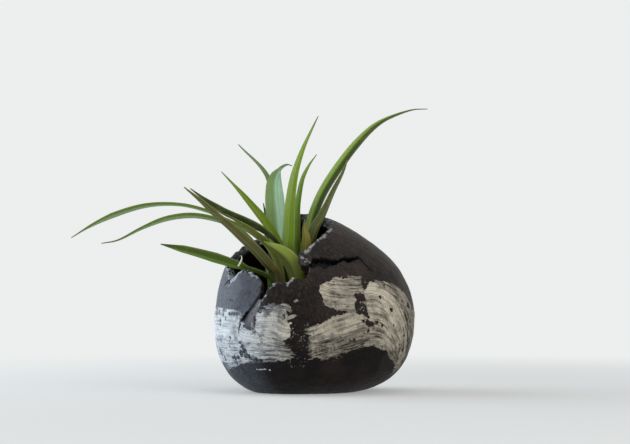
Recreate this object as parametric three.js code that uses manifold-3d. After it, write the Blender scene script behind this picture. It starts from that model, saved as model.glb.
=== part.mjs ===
// A small hand-pinched stoneware plant pot with a torn, slanting mouth, its potting mix, and the
// strap-leaved plant that stands in it. Millimetres, +Z up, +X to the right of the pot's front,
// -Y towards the viewer. The origin is on the flat base, midway between the pot's sides.

import * as THREE from "three";
import { ConvexGeometry } from "three/addons/geometries/ConvexGeometry.js";
import { mergeVertices } from "three/addons/utils/BufferGeometryUtils.js";
import Module from "manifold-3d";

const wasm = await Module();
wasm.setup();

// Pot body: a lopsided boulder, measured from the axis of its belly
const REACH_LEFT = 44.5;
const REACH_RIGHT = 65;
const REACH_FRONT = 50;
const REACH_BACK = 50;
const CROWN_RISE = 58;
const KEEL_DROP = 44;
const BASE_TRIM = 3; // how much of the rounded keel is planed off to make the flat base
const WALL = 5.5;
const FLOOR = 8;

// How square each stretch of the boulder is: 2 is an ellipse, more is squarer, less is sharper
const ROUND_PLAN = 2.1;
const ROUND_UPPER_LEFT = 2.05;
const ROUND_UPPER_RIGHT = 1.75;
const ROUND_LOWER = 2.8;

// Mouth: its axis leans to the front left, and its edge is given as bearing and spread about it
const MOUTH_TILT = 25;
const MOUTH_AZIMUTH = -126;
const MOUTH_EDGE = [
  [5, 32], [20, 33], [32, 34.5], [46, 35], [64, 35.5], [78, 30], [92, 30], [101, 34.5],
  [121, 40], [138, 45.5], [152, 48.5], [161, 50], [176, 52], [197, 45], [212, 44], [235, 43],
  [246, 43.5], [251, 40], [256, 36], [266, 35], [276, 35], [285, 38.5], [288, 43], [289, 52],
  [294, 50], [298, 47.5], [305, 47.5], [311, 48.5], [316, 46.5], [322, 50.5], [330, 47.5],
  [333, 43], [335, 37], [340, 33], [351, 32],
];

// Tear below the mouth's front flap: its left and right lips, each as bearing and spread
const TEAR_LIPS = [
  [[287.5, 46], [294.5, 48.5]],
  [[282, 55.5], [288.5, 58.5]],
  [[275.5, 62], [282, 66]],
  [[270, 68], [276, 72]],
];
const TEAR_SKIN = 1; // wall left behind the tear

// Crack from the mouth's right corner, as azimuth, elevation and half-width
const CRACK_PATH = [
  [-79, 29, 2.2], [-75, 32, 2.2], [-69, 35.5, 2.2], [-61, 33, 1.9], [-53, 35, 1.7],
  [-44, 36, 1.3], [-40, 33, 0.9], [-38, 27.5, 0.7], [-34.5, 23, 0.4],
];
const CRACK_SKIN = 1.5; // wall left behind the crack
const LIP_OVERCUT = 2.5; // how far the tear's and the crack's cuts stand proud of the wall

// Planting: potting mix in the pot, and a root ball in a socket in the mix
const MIX_DEPTH = 39;
const PLANT_LEFT = 2.75; // stem axis from the belly's axis
const PLANT_FRONT = 18;
const ROOT_DEPTH = 28;
const ROOT_TOP_RADIUS = 14.5;
const ROOT_FOOT_RADIUS = 9;
const ROOT_PROUD = 0.5; // root ball's top above the mix
const STEM_RADIUS = 2.2;
const STEM_TIP_RADIUS = 1.2;
const STEM_HEIGHT = 10;
const FIT_GAP = 0.3; // clearance between any two pieces that touch

// Leaves: they stand in three rings on the root ball, round the stem
const FIRST_RING = 1.8; // stem's side to the inner ring
const RING_STEP = 3.5;
const FOOT_WIDTH = 3;
const FOOT_HEIGHT = 5; // straight stretch above each leaf's foot
const TIP_WIDTH = 0.8;
const LEAF_THICKNESS = 0.9;
const MARGIN_THICKNESS = 0.5;
const CHANNEL_SLOPE = 0.28; // rise of the V-shaped channel's sides
const TAPER_POWER = 1.8; // how late a leaf narrows to its tip
const TURN_BY = 0.3; // share of its length by which a leaf has turned to its heading

// Each leaf: ring, bearing of its foot, heading, width, the share of its length where it is widest,
// roll, and its spine past the foot, as reach from the foot and rise over the mouth's edge
const LEAVES = {
  leaf_left_long: {
    ring: 1, foot: 176, heading: 163, width: 5, widest: 0.35, roll: 15,
    spine: [
      [3, 10], [13, 20], [30, 29], [40, 33.5], [56, 37.5],
      [75.5, 37.5], [95, 33], [110.5, 27], [123, 20.5],
    ],
  },
  leaf_left_arched: {
    ring: 2, foot: 178, heading: 180, width: 5, widest: 0.35, roll: 15,
    spine: [
      [2.5, 8], [9, 18.5], [17.5, 26], [28, 30.5], [41.5, 33],
      [55.5, 31.5], [69, 26.5], [82.5, 20], [91, 18.5],
    ],
  },
  leaf_over_flap: {
    ring: 2, foot: 206, heading: 196, width: 7, widest: 0.6, roll: 45,
    spine: [[1, 0], [11, 5], [18.5, 7], [39.5, 13], [60, 18]],
  },
  leaf_olive: {
    ring: 2, foot: 234, heading: 222, width: 6, widest: 0.3, roll: 35,
    spine: [[1, -3.5], [7, 2], [14.5, 8.5], [24, 15], [32, 20.5], [41, 26], [53, 34], [62, 39.5]],
  },
  leaf_left_dark: {
    ring: 0, foot: 200, heading: 174, width: 5.5, widest: 0.35, roll: 10,
    spine: [[2, 15], [13.5, 26.5], [31, 34], [51, 47.5]],
  },
  leaf_left_inner: {
    ring: 1, foot: 228, heading: 206, width: 5.5, widest: 0.35, roll: 10,
    spine: [[1, 0], [8, 13], [17.5, 20.5], [31.5, 29]],
  },
  leaf_front_short: {
    ring: 2, foot: 290, heading: 208, width: 9.5, widest: 0.5, roll: 45,
    spine: [[1, -3.5], [3, 2], [6.5, 6.5], [12, 10.5], [19.5, 14.5]],
  },
  leaf_back_left: {
    ring: 0, foot: 118, heading: 156, width: 5.5, widest: 0.35, roll: -40,
    spine: [[1, 3], [4.5, 15.5], [10.5, 23.5], [19.5, 33.5], [40, 55]],
  },
  leaf_back_tall: {
    ring: 2, foot: 105, heading: 123, width: 4.5, widest: 0.35, roll: 0,
    spine: [[3, -14], [9, 6], [13, 21], [18.5, 38.5], [52.5, 62]],
  },
  leaf_back_short: {
    ring: 2, foot: 138, heading: 120, width: 4, widest: 0.35, roll: 0,
    spine: [[3, -16], [7, 1], [14.5, 22.5]],
  },
  leaf_back_broad: {
    ring: 1, foot: 110, heading: 133, width: 12, widest: 0.6, roll: -40,
    spine: [[2, -7], [6, 10], [8, 23], [9.5, 35], [9.5, 43.5], [6, 49], [-0.5, 51.5], [-4.5, 50.5]],
  },
  leaf_upright: {
    ring: 0, foot: 275, heading: 55, width: 8.2, widest: 0.4, roll: 0,
    spine: [[-1, -25], [-2.5, 2], [3, 16], [10, 30], [26, 54.5]],
  },
  leaf_upright_short: {
    ring: 1, foot: 58, heading: 66, width: 5.5, widest: 0.45, roll: 0,
    spine: [[-0.5, -3], [2.5, 9.5], [11.5, 22.5], [25, 34]],
  },
  leaf_right_long: {
    ring: 2, foot: 22, heading: 26, width: 8, widest: 0.4, roll: 20,
    spine: [[-1, -8], [5, 11], [20.5, 34], [45, 56], [75, 65.5]],
  },
  leaf_right_short: {
    ring: 2, foot: 350, heading: 345, width: 5.5, widest: 0.35, roll: -40,
    spine: [[-1, -12], [0.5, -1.5], [5.5, 8.5], [11, 20], [17.5, 32], [19.5, 37.5]],
  },
  leaf_withered: {
    ring: 1, foot: 318, heading: 318, width: 5, widest: 0.35, roll: -48,
    spine: [[1.5, -16], [3, -4], [3.5, 4], [3, 10.5]],
  },
};

// Facets
const OUTER_AROUND = 48;
const OUTER_RISE = 26;
const INNER_AROUND = 36;
const INNER_RISE = 20;
const ROUND_SIDES = 24;
const LEAF_STEPS = 12;

const COLOURS = {
  clay: 0x2e2827,
  mix: 0x2a2019,
  roots: 0x4a3a2a,
  stem: 0x8f9a62,
  leaf: 0x5f8a3a,
  leafOlive: 0x575f31,
  leafWithered: 0xb98d3a,
};
const LEAF_COLOURS = { leaf_olive: COLOURS.leafOlive, leaf_withered: COLOURS.leafWithered };

// Places worked out from the sizes above
const CENTRE = new THREE.Vector3(
  (REACH_LEFT - REACH_RIGHT) / 2,
  (REACH_FRONT - REACH_BACK) / 2,
  KEEL_DROP - BASE_TRIM,
);
const BEYOND = 2 * (REACH_RIGHT + CROWN_RISE); // clear of the whole pot
const MIX_TOP = FLOOR + MIX_DEPTH;
const ROOT_TOP = MIX_TOP + ROOT_PROUD;
const STEM_AXIS = new THREE.Vector2(CENTRE.x - PLANT_LEFT, CENTRE.y - PLANT_FRONT);
const LEAF_FOOT_Z = ROOT_TOP + FIT_GAP;

const radians = THREE.MathUtils.degToRad;

function direction(azimuth, elevation) {
  const flat = Math.cos(radians(elevation));
  const x = Math.cos(radians(azimuth)) * flat;
  const y = Math.sin(radians(azimuth)) * flat;
  return new THREE.Vector3(x, y, Math.sin(radians(elevation)));
}

const MOUTH_AXIS = direction(MOUTH_AZIMUTH, 90 - MOUTH_TILT);
const MOUTH_SIDE = direction(MOUTH_AZIMUTH + 90, 0);
const MOUTH_UP = new THREE.Vector3().crossVectors(MOUTH_AXIS, MOUTH_SIDE);

function mouthDirection([bearing, spread]) {
  const out = Math.sin(radians(spread));
  return MOUTH_AXIS.clone()
    .multiplyScalar(Math.cos(radians(spread)))
    .addScaledVector(MOUTH_SIDE, out * Math.cos(radians(bearing)))
    .addScaledVector(MOUTH_UP, out * Math.sin(radians(bearing)));
}

// The point of the boulder's surface in a direction from its centre, set in by a wall
function bodyPoint(way, inset = 0) {
  const side = (way.x < 0 ? REACH_LEFT : REACH_RIGHT) - inset;
  const depth = (way.y < 0 ? REACH_FRONT : REACH_BACK) - inset;
  const rise = (way.z < 0 ? KEEL_DROP : CROWN_RISE) - inset;
  const rightness = THREE.MathUtils.smoothstep(way.x / (Math.hypot(way.x, way.y) || 1), -1, 1);
  const upper = THREE.MathUtils.lerp(ROUND_UPPER_LEFT, ROUND_UPPER_RIGHT, rightness);
  const round = way.z < 0 ? ROUND_LOWER : upper;
  const across = Math.abs(way.x / side) ** ROUND_PLAN + Math.abs(way.y / depth) ** ROUND_PLAN;
  const plan = across ** (1 / ROUND_PLAN);
  const reach = (plan ** round + Math.abs(way.z / rise) ** round) ** (-1 / round);
  return CENTRE.clone().addScaledVector(way, reach);
}

// Solids and their joins and cuts
function meshGeometry(points, triangles) {
  const geometry = new THREE.BufferGeometry();
  geometry.setAttribute("position", new THREE.Float32BufferAttribute(points, 3));
  geometry.setIndex(triangles);
  return geometry;
}

function solid(geometry) {
  const bare = geometry.clone();
  bare.deleteAttribute("normal");
  bare.deleteAttribute("uv");
  const merged = mergeVertices(bare);
  return new wasm.Manifold(new wasm.Mesh({
    numProp: 3,
    vertProperties: new Float32Array(merged.attributes.position.array),
    triVerts: new Uint32Array(merged.index.array),
  }));
}

function geometryOf(body) {
  const { numProp, vertProperties, triVerts } = body.getMesh();
  const points = [];
  for (let i = 0; i < vertProperties.length; i += numProp) {
    points.push(vertProperties[i], vertProperties[i + 1], vertProperties[i + 2]);
  }
  return meshGeometry(points, Array.from(triVerts));
}

function slabBelow(level) {
  const block = new THREE.BoxGeometry(2 * BEYOND, 2 * BEYOND, BEYOND);
  return solid(block.translate(0, 0, level - BEYOND / 2));
}

function slabAbove(level) {
  const block = new THREE.BoxGeometry(2 * BEYOND, 2 * BEYOND, BEYOND);
  return solid(block.translate(0, 0, level + BEYOND / 2));
}

// The boulder as a closed grid of points, from its keel to its crown
function boulder(inset, around, rises) {
  const points = [];
  const triangles = [];
  points.push(...bodyPoint(direction(0, -90), inset));
  for (let row = 1; row < rises; row += 1) {
    for (let column = 0; column < around; column += 1) {
      const way = direction((360 * column) / around, (180 * row) / rises - 90);
      points.push(...bodyPoint(way, inset));
    }
  }
  points.push(...bodyPoint(direction(0, 90), inset));
  const crown = points.length / 3 - 1;
  for (let column = 0; column < around; column += 1) {
    const next = (column + 1) % around;
    triangles.push(0, 1 + next, 1 + column);
    for (let row = 0; row < rises - 2; row += 1) {
      const low = 1 + row * around;
      const high = low + around;
      triangles.push(low + column, low + next, high + next);
      triangles.push(low + column, high + next, high + column);
    }
    triangles.push(crown - around + column, crown - around + next, crown);
  }
  return solid(meshGeometry(points, triangles));
}

// The cone from the boulder's centre out through the mouth's edge
function mouthCone() {
  const points = [...CENTRE];
  const triangles = [];
  for (const corner of MOUTH_EDGE) {
    points.push(...CENTRE.clone().addScaledVector(mouthDirection(corner), BEYOND));
  }
  points.push(...CENTRE.clone().addScaledVector(MOUTH_AXIS, BEYOND));
  const cap = MOUTH_EDGE.length + 1;
  MOUTH_EDGE.forEach((_, i) => {
    const here = i + 1;
    const next = ((i + 1) % MOUTH_EDGE.length) + 1;
    triangles.push(0, next, here, cap, here, next);
  });
  return solid(meshGeometry(points, triangles));
}

// A groove as a chain of wedges, each from one station's two lips and bottom to the next's
function grooveWedges(stations) {
  return stations.slice(1).map((station, i) => solid(new ConvexGeometry([...stations[i], ...station])));
}

function tearStations() {
  return TEAR_LIPS.map(([left, right]) => {
    const leftWay = mouthDirection(left);
    const rightWay = mouthDirection(right);
    return [
      bodyPoint(leftWay).addScaledVector(leftWay, LIP_OVERCUT),
      bodyPoint(rightWay).addScaledVector(rightWay, LIP_OVERCUT),
      bodyPoint(leftWay).addScaledVector(leftWay, TEAR_SKIN - WALL),
    ];
  });
}

function crackStations() {
  const ways = CRACK_PATH.map(([azimuth, elevation]) => direction(azimuth, elevation));
  return ways.map((way, i) => {
    const middle = bodyPoint(way);
    const before = bodyPoint(ways[Math.max(i - 1, 0)]);
    const after = bodyPoint(ways[Math.min(i + 1, ways.length - 1)]);
    const aside = after.sub(before).cross(way).setLength(CRACK_PATH[i][2]);
    const proud = middle.clone().addScaledVector(way, LIP_OVERCUT);
    return [
      proud.clone().add(aside),
      proud.clone().sub(aside),
      middle.clone().addScaledVector(way, CRACK_SKIN - WALL),
    ];
  });
}

function potShell() {
  const cavity = boulder(WALL, INNER_AROUND, INNER_RISE).subtract(slabBelow(FLOOR));
  let shell = boulder(0, OUTER_AROUND, OUTER_RISE).subtract(slabBelow(0));
  shell = shell.subtract(cavity).subtract(mouthCone());
  for (const wedge of [...grooveWedges(tearStations()), ...grooveWedges(crackStations())]) {
    shell = shell.subtract(wedge);
  }
  return geometryOf(shell);
}

// The root ball, grown by a gap, from its foot up to a top level
function rootPlug(gap, top) {
  const profile = [
    new THREE.Vector2(0, ROOT_TOP - ROOT_DEPTH - gap),
    new THREE.Vector2(ROOT_FOOT_RADIUS + gap, ROOT_TOP - ROOT_DEPTH - gap),
    new THREE.Vector2(ROOT_TOP_RADIUS + gap, top),
    new THREE.Vector2(0, top),
  ];
  return standing(profile);
}

function plantStem() {
  return standing([
    new THREE.Vector2(0, LEAF_FOOT_Z),
    new THREE.Vector2(STEM_RADIUS, LEAF_FOOT_Z),
    new THREE.Vector2(STEM_TIP_RADIUS, LEAF_FOOT_Z + STEM_HEIGHT),
    new THREE.Vector2(0, LEAF_FOOT_Z + STEM_HEIGHT),
  ]);
}

// A turned profile, stood upright on the plant's axis
function standing(profile) {
  const turned = new THREE.LatheGeometry(profile, ROUND_SIDES).rotateX(Math.PI / 2);
  return geometryOf(solid(turned.translate(STEM_AXIS.x, STEM_AXIS.y, 0)));
}

function pottingMix() {
  const filling = boulder(WALL + FIT_GAP, INNER_AROUND, INNER_RISE);
  const level = filling.subtract(slabBelow(FLOOR + FIT_GAP)).subtract(slabAbove(MIX_TOP));
  return geometryOf(level.subtract(solid(rootPlug(FIT_GAP, ROOT_TOP + FIT_GAP))));
}

// How high the mouth's edge is where a heading from the stem crosses it
function edgeHeight(heading) {
  const ray = new THREE.Vector2(Math.cos(radians(heading)), Math.sin(radians(heading)));
  const edge = MOUTH_EDGE.map((corner) => bodyPoint(mouthDirection(corner)));
  let height = -Infinity;
  edge.forEach((from, i) => {
    const to = edge[(i + 1) % edge.length];
    const near = new THREE.Vector2(from.x, from.y).sub(STEM_AXIS);
    const far = new THREE.Vector2(to.x, to.y).sub(STEM_AXIS);
    const share = ray.cross(near) / (ray.cross(near) - ray.cross(far));
    if (share >= 0 && share <= 1 && near.lerp(far, share).dot(ray) > 0) {
      height = Math.max(height, THREE.MathUtils.lerp(from.z, to.z, share));
    }
  });
  return height;
}

function leafWidth(width, widest, along) {
  if (along < widest) {
    return THREE.MathUtils.lerp(FOOT_WIDTH, width, THREE.MathUtils.smoothstep(along, 0, widest));
  }
  const past = (along - widest) / (1 - widest);
  return THREE.MathUtils.lerp(width, TIP_WIDTH, past ** TAPER_POWER);
}

// A strap leaf: a thin V-shaped channel swept along its spine, narrowing to its tip
function strapLeaf({ ring, foot, heading, width, widest, roll, spine }) {
  const ringRadius = STEM_RADIUS + FIRST_RING + ring * RING_STEP;
  const root = new THREE.Vector3(
    STEM_AXIS.x + ringRadius * Math.cos(radians(foot)),
    STEM_AXIS.y + ringRadius * Math.sin(radians(foot)),
    LEAF_FOOT_Z,
  );
  const out = direction(heading, 0);
  const edge = edgeHeight(heading);
  const stations = [root, root.clone().setZ(LEAF_FOOT_Z + FOOT_HEIGHT)];
  for (const [reach, rise] of spine) {
    stations.push(root.clone().addScaledVector(out, reach).setZ(edge + rise));
  }
  const curve = new THREE.CatmullRomCurve3(stations);

  const points = [];
  const triangles = [];
  for (let step = 0; step <= LEAF_STEPS; step += 1) {
    const along = step / LEAF_STEPS;
    const centre = curve.getPointAt(along);
    const forward = curve.getTangentAt(along);
    const turned = THREE.MathUtils.smoothstep(along, 0, TURN_BY);
    const facing = ring === 0 ? heading : foot; // an inner leaf faces its heading from the start
    const bearing = THREE.MathUtils.lerp(facing, heading, turned);
    const across = direction(bearing + 90, 0);
    across.addScaledVector(forward, -across.dot(forward)).normalize();
    across.applyAxisAngle(forward, radians(roll) * turned);
    const up = new THREE.Vector3().crossVectors(forward, across);
    const half = leafWidth(width, widest, along) / 2;
    const lift = half * CHANNEL_SLOPE;
    const section = [
      [-half, lift - MARGIN_THICKNESS], [0, -LEAF_THICKNESS], [half, lift - MARGIN_THICKNESS],
      [half, lift], [0, 0], [-half, lift],
    ];
    for (const [aside, above] of section) {
      points.push(...centre.clone().addScaledVector(across, aside).addScaledVector(up, above));
    }
  }
  const sides = 6;
  for (let step = 0; step < LEAF_STEPS; step += 1) {
    for (let side = 0; side < sides; side += 1) {
      const here = step * sides + side;
      const next = step * sides + ((side + 1) % sides);
      triangles.push(here, next, next + sides, here, next + sides, here + sides);
    }
  }
  const tip = LEAF_STEPS * sides;
  for (const [a, b, c] of [[0, 1, 4], [0, 4, 5], [1, 2, 3], [1, 3, 4]]) {
    triangles.push(c, b, a, tip + a, tip + b, tip + c);
  }
  return meshGeometry(points, triangles);
}

const pottedPlant = new THREE.Group();

function addPiece(name, geometry, color, roughness) {
  const finish = new THREE.MeshStandardMaterial({ color, roughness, metalness: 0 });
  const piece = new THREE.Mesh(geometry, finish);
  piece.name = name;
  pottedPlant.add(piece);
}

addPiece("pot_shell", potShell(), COLOURS.clay, 0.85);
addPiece("potting_mix", pottingMix(), COLOURS.mix, 0.95);
addPiece("root_ball", rootPlug(0, ROOT_TOP), COLOURS.roots, 0.95);
addPiece("plant_stem", plantStem(), COLOURS.stem, 0.6);
for (const [name, leaf] of Object.entries(LEAVES)) {
  addPiece(name, strapLeaf(leaf), LEAF_COLOURS[name] ?? COLOURS.leaf, 0.45);
}

export default pottedPlant;
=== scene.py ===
import math

import bpy
import numpy as np
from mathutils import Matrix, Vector, noise


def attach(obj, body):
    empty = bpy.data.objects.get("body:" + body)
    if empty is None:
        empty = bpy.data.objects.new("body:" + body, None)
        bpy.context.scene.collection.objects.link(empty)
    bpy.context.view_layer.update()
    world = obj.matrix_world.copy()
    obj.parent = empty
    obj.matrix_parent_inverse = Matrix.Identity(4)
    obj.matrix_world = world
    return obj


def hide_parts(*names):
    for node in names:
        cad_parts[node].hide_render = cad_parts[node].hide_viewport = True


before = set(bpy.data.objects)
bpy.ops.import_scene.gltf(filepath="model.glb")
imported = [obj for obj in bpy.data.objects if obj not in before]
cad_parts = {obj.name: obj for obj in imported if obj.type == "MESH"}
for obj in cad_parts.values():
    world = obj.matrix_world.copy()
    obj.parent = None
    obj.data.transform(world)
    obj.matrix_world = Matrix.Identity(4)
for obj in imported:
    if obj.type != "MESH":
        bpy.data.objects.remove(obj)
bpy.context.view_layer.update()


# Pot shell: one boulder of dark stoneware, pinched by hand and left unglazed. Its mouth is torn
# open, the wall is split below the front flap and cracked under the right shoulder, and pale slip
# is brushed over the belly in broad dry strokes before firing.
MM = 0.001
REACH_LEFT = 44.5
REACH_RIGHT = 65.0
REACH_FRONT = 50.0
REACH_BACK = 50.0
CROWN_RISE = 58.0
KEEL_DROP = 44.0
BASE_TRIM = 3.0
WALL = 5.5
FLOOR = 8.0
ROUND_PLAN = 2.1
ROUND_UPPER_LEFT = 2.05
ROUND_UPPER_RIGHT = 1.75
ROUND_LOWER = 2.8
CENTRE = np.array([
    (REACH_LEFT - REACH_RIGHT) / 2,
    (REACH_FRONT - REACH_BACK) / 2,
    KEEL_DROP - BASE_TRIM,
])
MOUTH_TILT = 25
MOUTH_AZIMUTH = -126

# The torn edge of the mouth, as bearing and spread about its axis
RIM = np.array([
    (5, 32), (20, 33), (32, 34.5), (46, 35), (64, 35.5), (78, 30), (92, 30), (101, 34.5),
    (121, 40), (138, 45.5), (152, 48.5), (161, 49.4), (176, 49.6), (190, 44), (205, 39.4), (212, 37.2),
    (222, 36), (230, 36.2), (236, 37.6), (241, 39.4), (244, 41.6), (245.8, 45), (247.4, 42.8),
    (250, 41.4), (256.3, 38.6), (259, 36.6), (264.3, 35), (268.6, 35.4), (277.8, 37.2),
    (283.9, 40.6), (287.2, 43), (288, 44.5), (288.3, 54),
    (291.5, 54.8), (295.2, 55.8), (295.7, 48.8), (298, 47.5), (305, 47.5), (311, 48.5), (316, 46.5),
    (322, 50.5), (330, 47.5), (333, 43.5), (333.5, 40.4), (334.5, 36), (337, 33.5), (340, 33.2),
    (351, 32),
])

# How far the nose at the mouth's right corner leans out over its own foot, in degrees of bearing
NOSE_LEAN = np.array([
    (333, 0), (333.5, -5.9), (334.5, -6.5), (337, -4.1), (340, -3), (351, -0.4), (356, 0),
])

# The tear's stations: spread, bearing of its left lip, bearing of its right lip
TEAR = np.array([
    (46.3, 288, 295.6), (49.2, 286.6, 293.8), (52.7, 284.3, 291.3), (55.4, 281.3, 289.3),
    (58.8, 277.8, 286.5), (61.7, 274.3, 284.2), (65.2, 270.7, 282.2), (68.3, 268.8, 281),
    (73, 268.4, 279.4),
])
TEAR_DEPTH = 2.9
TEAR_FOOT = 69.0
TEAR_SLANT = 4.0
TEAR_RUNOUT = 3.0
LIP_SHARE = 0.02
BEARING_MM = 0.78
SLIT_DEPTH = 0.6
SLIT_SHARE = 0.05
SLIT_HALF = 0.35
SLIT_SPREAD = 61
UNCUT = -3
FLAP_BEND = 1.2
FLAP_REACH = 16.0

# Where the torn edge is pale, as crumbled clay with a painted highlight along it: bearing, how pale,
# and how far down the outside it has crumbled
PALE_EDGE = np.array([
    (0, 0.7, 1.6), (14, 0.6, 1.8), (30, 0.6, 1.8), (46, 0.3, 1), (78, 0.3, 1), (101, 0.2, 1),
    (150, 0.4, 1), (176, 0.6, 1.2), (205, 0.65, 1.2), (236, 0.7, 1.4), (242, 0.8, 1.2), (247, 0.9, 2),
    (250, 1, 3), (258, 1, 3.2), (262, 0.8, 1.8), (266, 0.7, 1.6), (281, 0.75, 1.6), (286, 0.4, 1),
    (288, 0.1, 0.4), (295.2, 0.1, 0.4), (295.7, 0.85, 1.5), (299.5, 0.7, 1.4), (302, 0.34, 1.6),
    (309, 0.38, 2), (312, 0.75, 1.4), (316, 0.9, 1.3), (318, 0.2, 0.8), (332, 0.05, 0.4),
    (333.2, 0.26, 4), (336, 0.3, 5), (338.5, 0.38, 4), (340.5, 0.75, 2.8),
    (346, 0.75, 2.2), (352, 0.65, 1.6),
])

# Cracks, as azimuth, elevation and half-width: under the right shoulder, below the tear, and below
# the notch at the left
CRACKS = [
    [(-78.5, 31, 1.5), (-75, 34.2, 2), (-72, 34.2, 2.5), (-69.5, 33.1, 3), (-66, 33.5, 2.4),
     (-62, 33.4, 1.8), (-57.5, 33.6, 1), (-55, 34.8, 0.8), (-51, 34.3, 1.8), (-48, 34.1, 1.3),
     (-45, 34.3, 0.9), (-42, 34.9, 0.9), (-40.4, 33.8, 0.7), (-40.5, 31.2, 0.6), (-39.2, 28.9, 0.5),
     (-37.4, 25.7, 0.5), (-35, 22.2, 0.3)],
    [(-126.2, -4.5, 0.6), (-127.1, -7, 0.45), (-127.4, -9.5, 0.3)],
    [(-144.4, 24.2, 0.7), (-146.2, 23, 0.5), (-149.6, 21.3, 0.4), (-151.4, 19.4, 0.2)],
]
CRACK_DEPTH = 3.8

# Flats where a palm has pressed the soft wall: azimuth, elevation and depth
PALM_FLATS = [
    (-166, -22, 0.8), (-150, 14, 0.7), (-128, -34, 0.7), (-104, 8, 0.5), (-84, -30, 0.6),
    (-60, 6, 0.4), (-40, -26, 0.7), (4, -14, 0.8), (34, 40, 0.7), (42, -20, 0.8),
    (66, 22, 0.6), (88, -10, 0.8), (112, 28, 0.6), (132, -18, 0.8), (158, 8, 0.8), (176, -34, 0.6),
]
PALM_PRESS = 0.75
PALM_SLACK = 0.4

# Brush strokes of slip. Each point is azimuth, elevation, half-width and how dry the brush is.
STROKES = {
    "left_band": [
        (-206, -10.4, 5.4, 0.9), (-190, -8, 7.4, 0.5), (-173, -6.4, 9.6, 0.12), (-152, -5.8, 9.9, 0.04),
        (-140, -6.2, 9.4, 0.04), (-133, -6.8, 9.2, 0.06), (-129.5, -8, 8, 0.06), (-125.5, -11.4, 5, 0.08),
        (-120, -12.4, 4.6, 0.1), (-110, -13.6, 3.8, 0.15), (-101, -15.2, 2.4, 0.25), (-97, -16, 1.4, 0.3),
    ],
    "left_tail": [
        (-161, -34, 1.8, 0.7), (-146, -31.6, 2.2, 0.5), (-134.6, -28.8, 2.2, 0.4), (-126, -26, 1.5, 0.5),
    ],
    "left_daub": [
        (-114.5, -5, 5.5, 0.05), (-107, -5, 8, 0.05), (-101, -5.4, 8, 0.05), (-96.5, -8, 5.8, 0),
        (-92.6, -8, 3, 0),
    ],
    "left_fill": [(-110, -14.6, 2.6, 0.1), (-102, -15.6, 2.6, 0.2), (-96, -16.6, 1.6, 0.3)],
    "left_wash": [(-110.5, 4.6, 1.6, 0.45), (-103, 5, 2.5, 0.5), (-96, 4.6, 2.6, 0.4), (-93.6, 3, 2, 0.2)],
    "fork": [
        (-74.7, 16.2, 1.6, 0), (-72, 15.6, 4.6, 0), (-68, 14.2, 7.6, 0), (-64, 13.8, 9.3, 0.14),
        (-58, 13.2, 10, 0.3), (-46, 12.6, 9.8, 0.38),
    ],
    "swoop": [
        (-50, 8.8, 9.4, 0.2), (-41.4, 8.6, 10.4, 0), (-34.4, 5.4, 9.6, 0.02), (-28.6, -1.4, 8.2, 0.1),
        (-23.8, -9, 6.4, 0.26), (-20.6, -16.4, 5, 0.36), (-18.4, -22.4, 4, 0.42), (-16, -30, 2.2, 0.55),
    ],
    "swoop_edge": [
        (-38, 17.4, 2.4, 0.3), (-30, 14.4, 4, 0.36), (-21.6, 8, 5.4, 0.42), (-15.4, 0, 6, 0.46),
        (-12, -8.6, 5.6, 0.5), (-11.4, -16.4, 4.8, 0.52), (-12, -23, 3.6, 0.54), (-13, -30, 2, 0.6),
    ],
    "low_pass": [
        (-80.6, -20, 4.6, 0.36), (-74, -18.5, 5.2, 0.5), (-66.5, -16.5, 5.6, 0.52),
        (-57, -13.2, 5.4, 0.48), (-47.5, -10.5, 5.2, 0.42), (-39, -11, 4.4, 0.35), (-33, -14.2, 3.8, 0.35),
        (-27.5, -18, 3.2, 0.4), (-21.5, -21.5, 2.6, 0.55), (-15, -24.5, 1.6, 0.8),
    ],
    "low_band": [
        (-81.6, -12.5, 5, 0.22), (-74, -9.8, 5.4, 0.2), (-66.5, -6.5, 6, 0.18), (-57, -3.2, 5.8, 0.2),
        (-47.5, -0.5, 6, 0.2), (-39, -1.5, 6, 0.2), (-31, -8, 5, 0.2), (-25, -13.5, 4, 0.3),
        (-19, -19, 2.6, 0.6), (-14, -23, 1.4, 0.85),
    ],
    "side_trail": [(-13, -2, 6.5, 0.4), (-3, -4, 7, 0.55), (10, -9, 6, 0.8), (20, -13, 3, 0.95)],
    "left_low": [
        (-202, -20.6, 5.4, 0.85), (-188, -21.4, 7, 0.5), (-170, -22, 8.2, 0.34), (-152, -22, 8.2, 0.3),
        (-140, -21.8, 8, 0.3), (-130, -21.4, 7.2, 0.26), (-120, -20.8, 6.4, 0.2), (-110, -20.8, 5.8, 0.24),
        (-101, -21.2, 4.8, 0.3), (-95.5, -21.8, 3.6, 0.35), (-91, -22.3, 1.8, 0.4),
    ],
}
SLIP_THICKNESS = 0.35
ALONG_SHIFT = 97
ACROSS_SHIFT = 31

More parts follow.
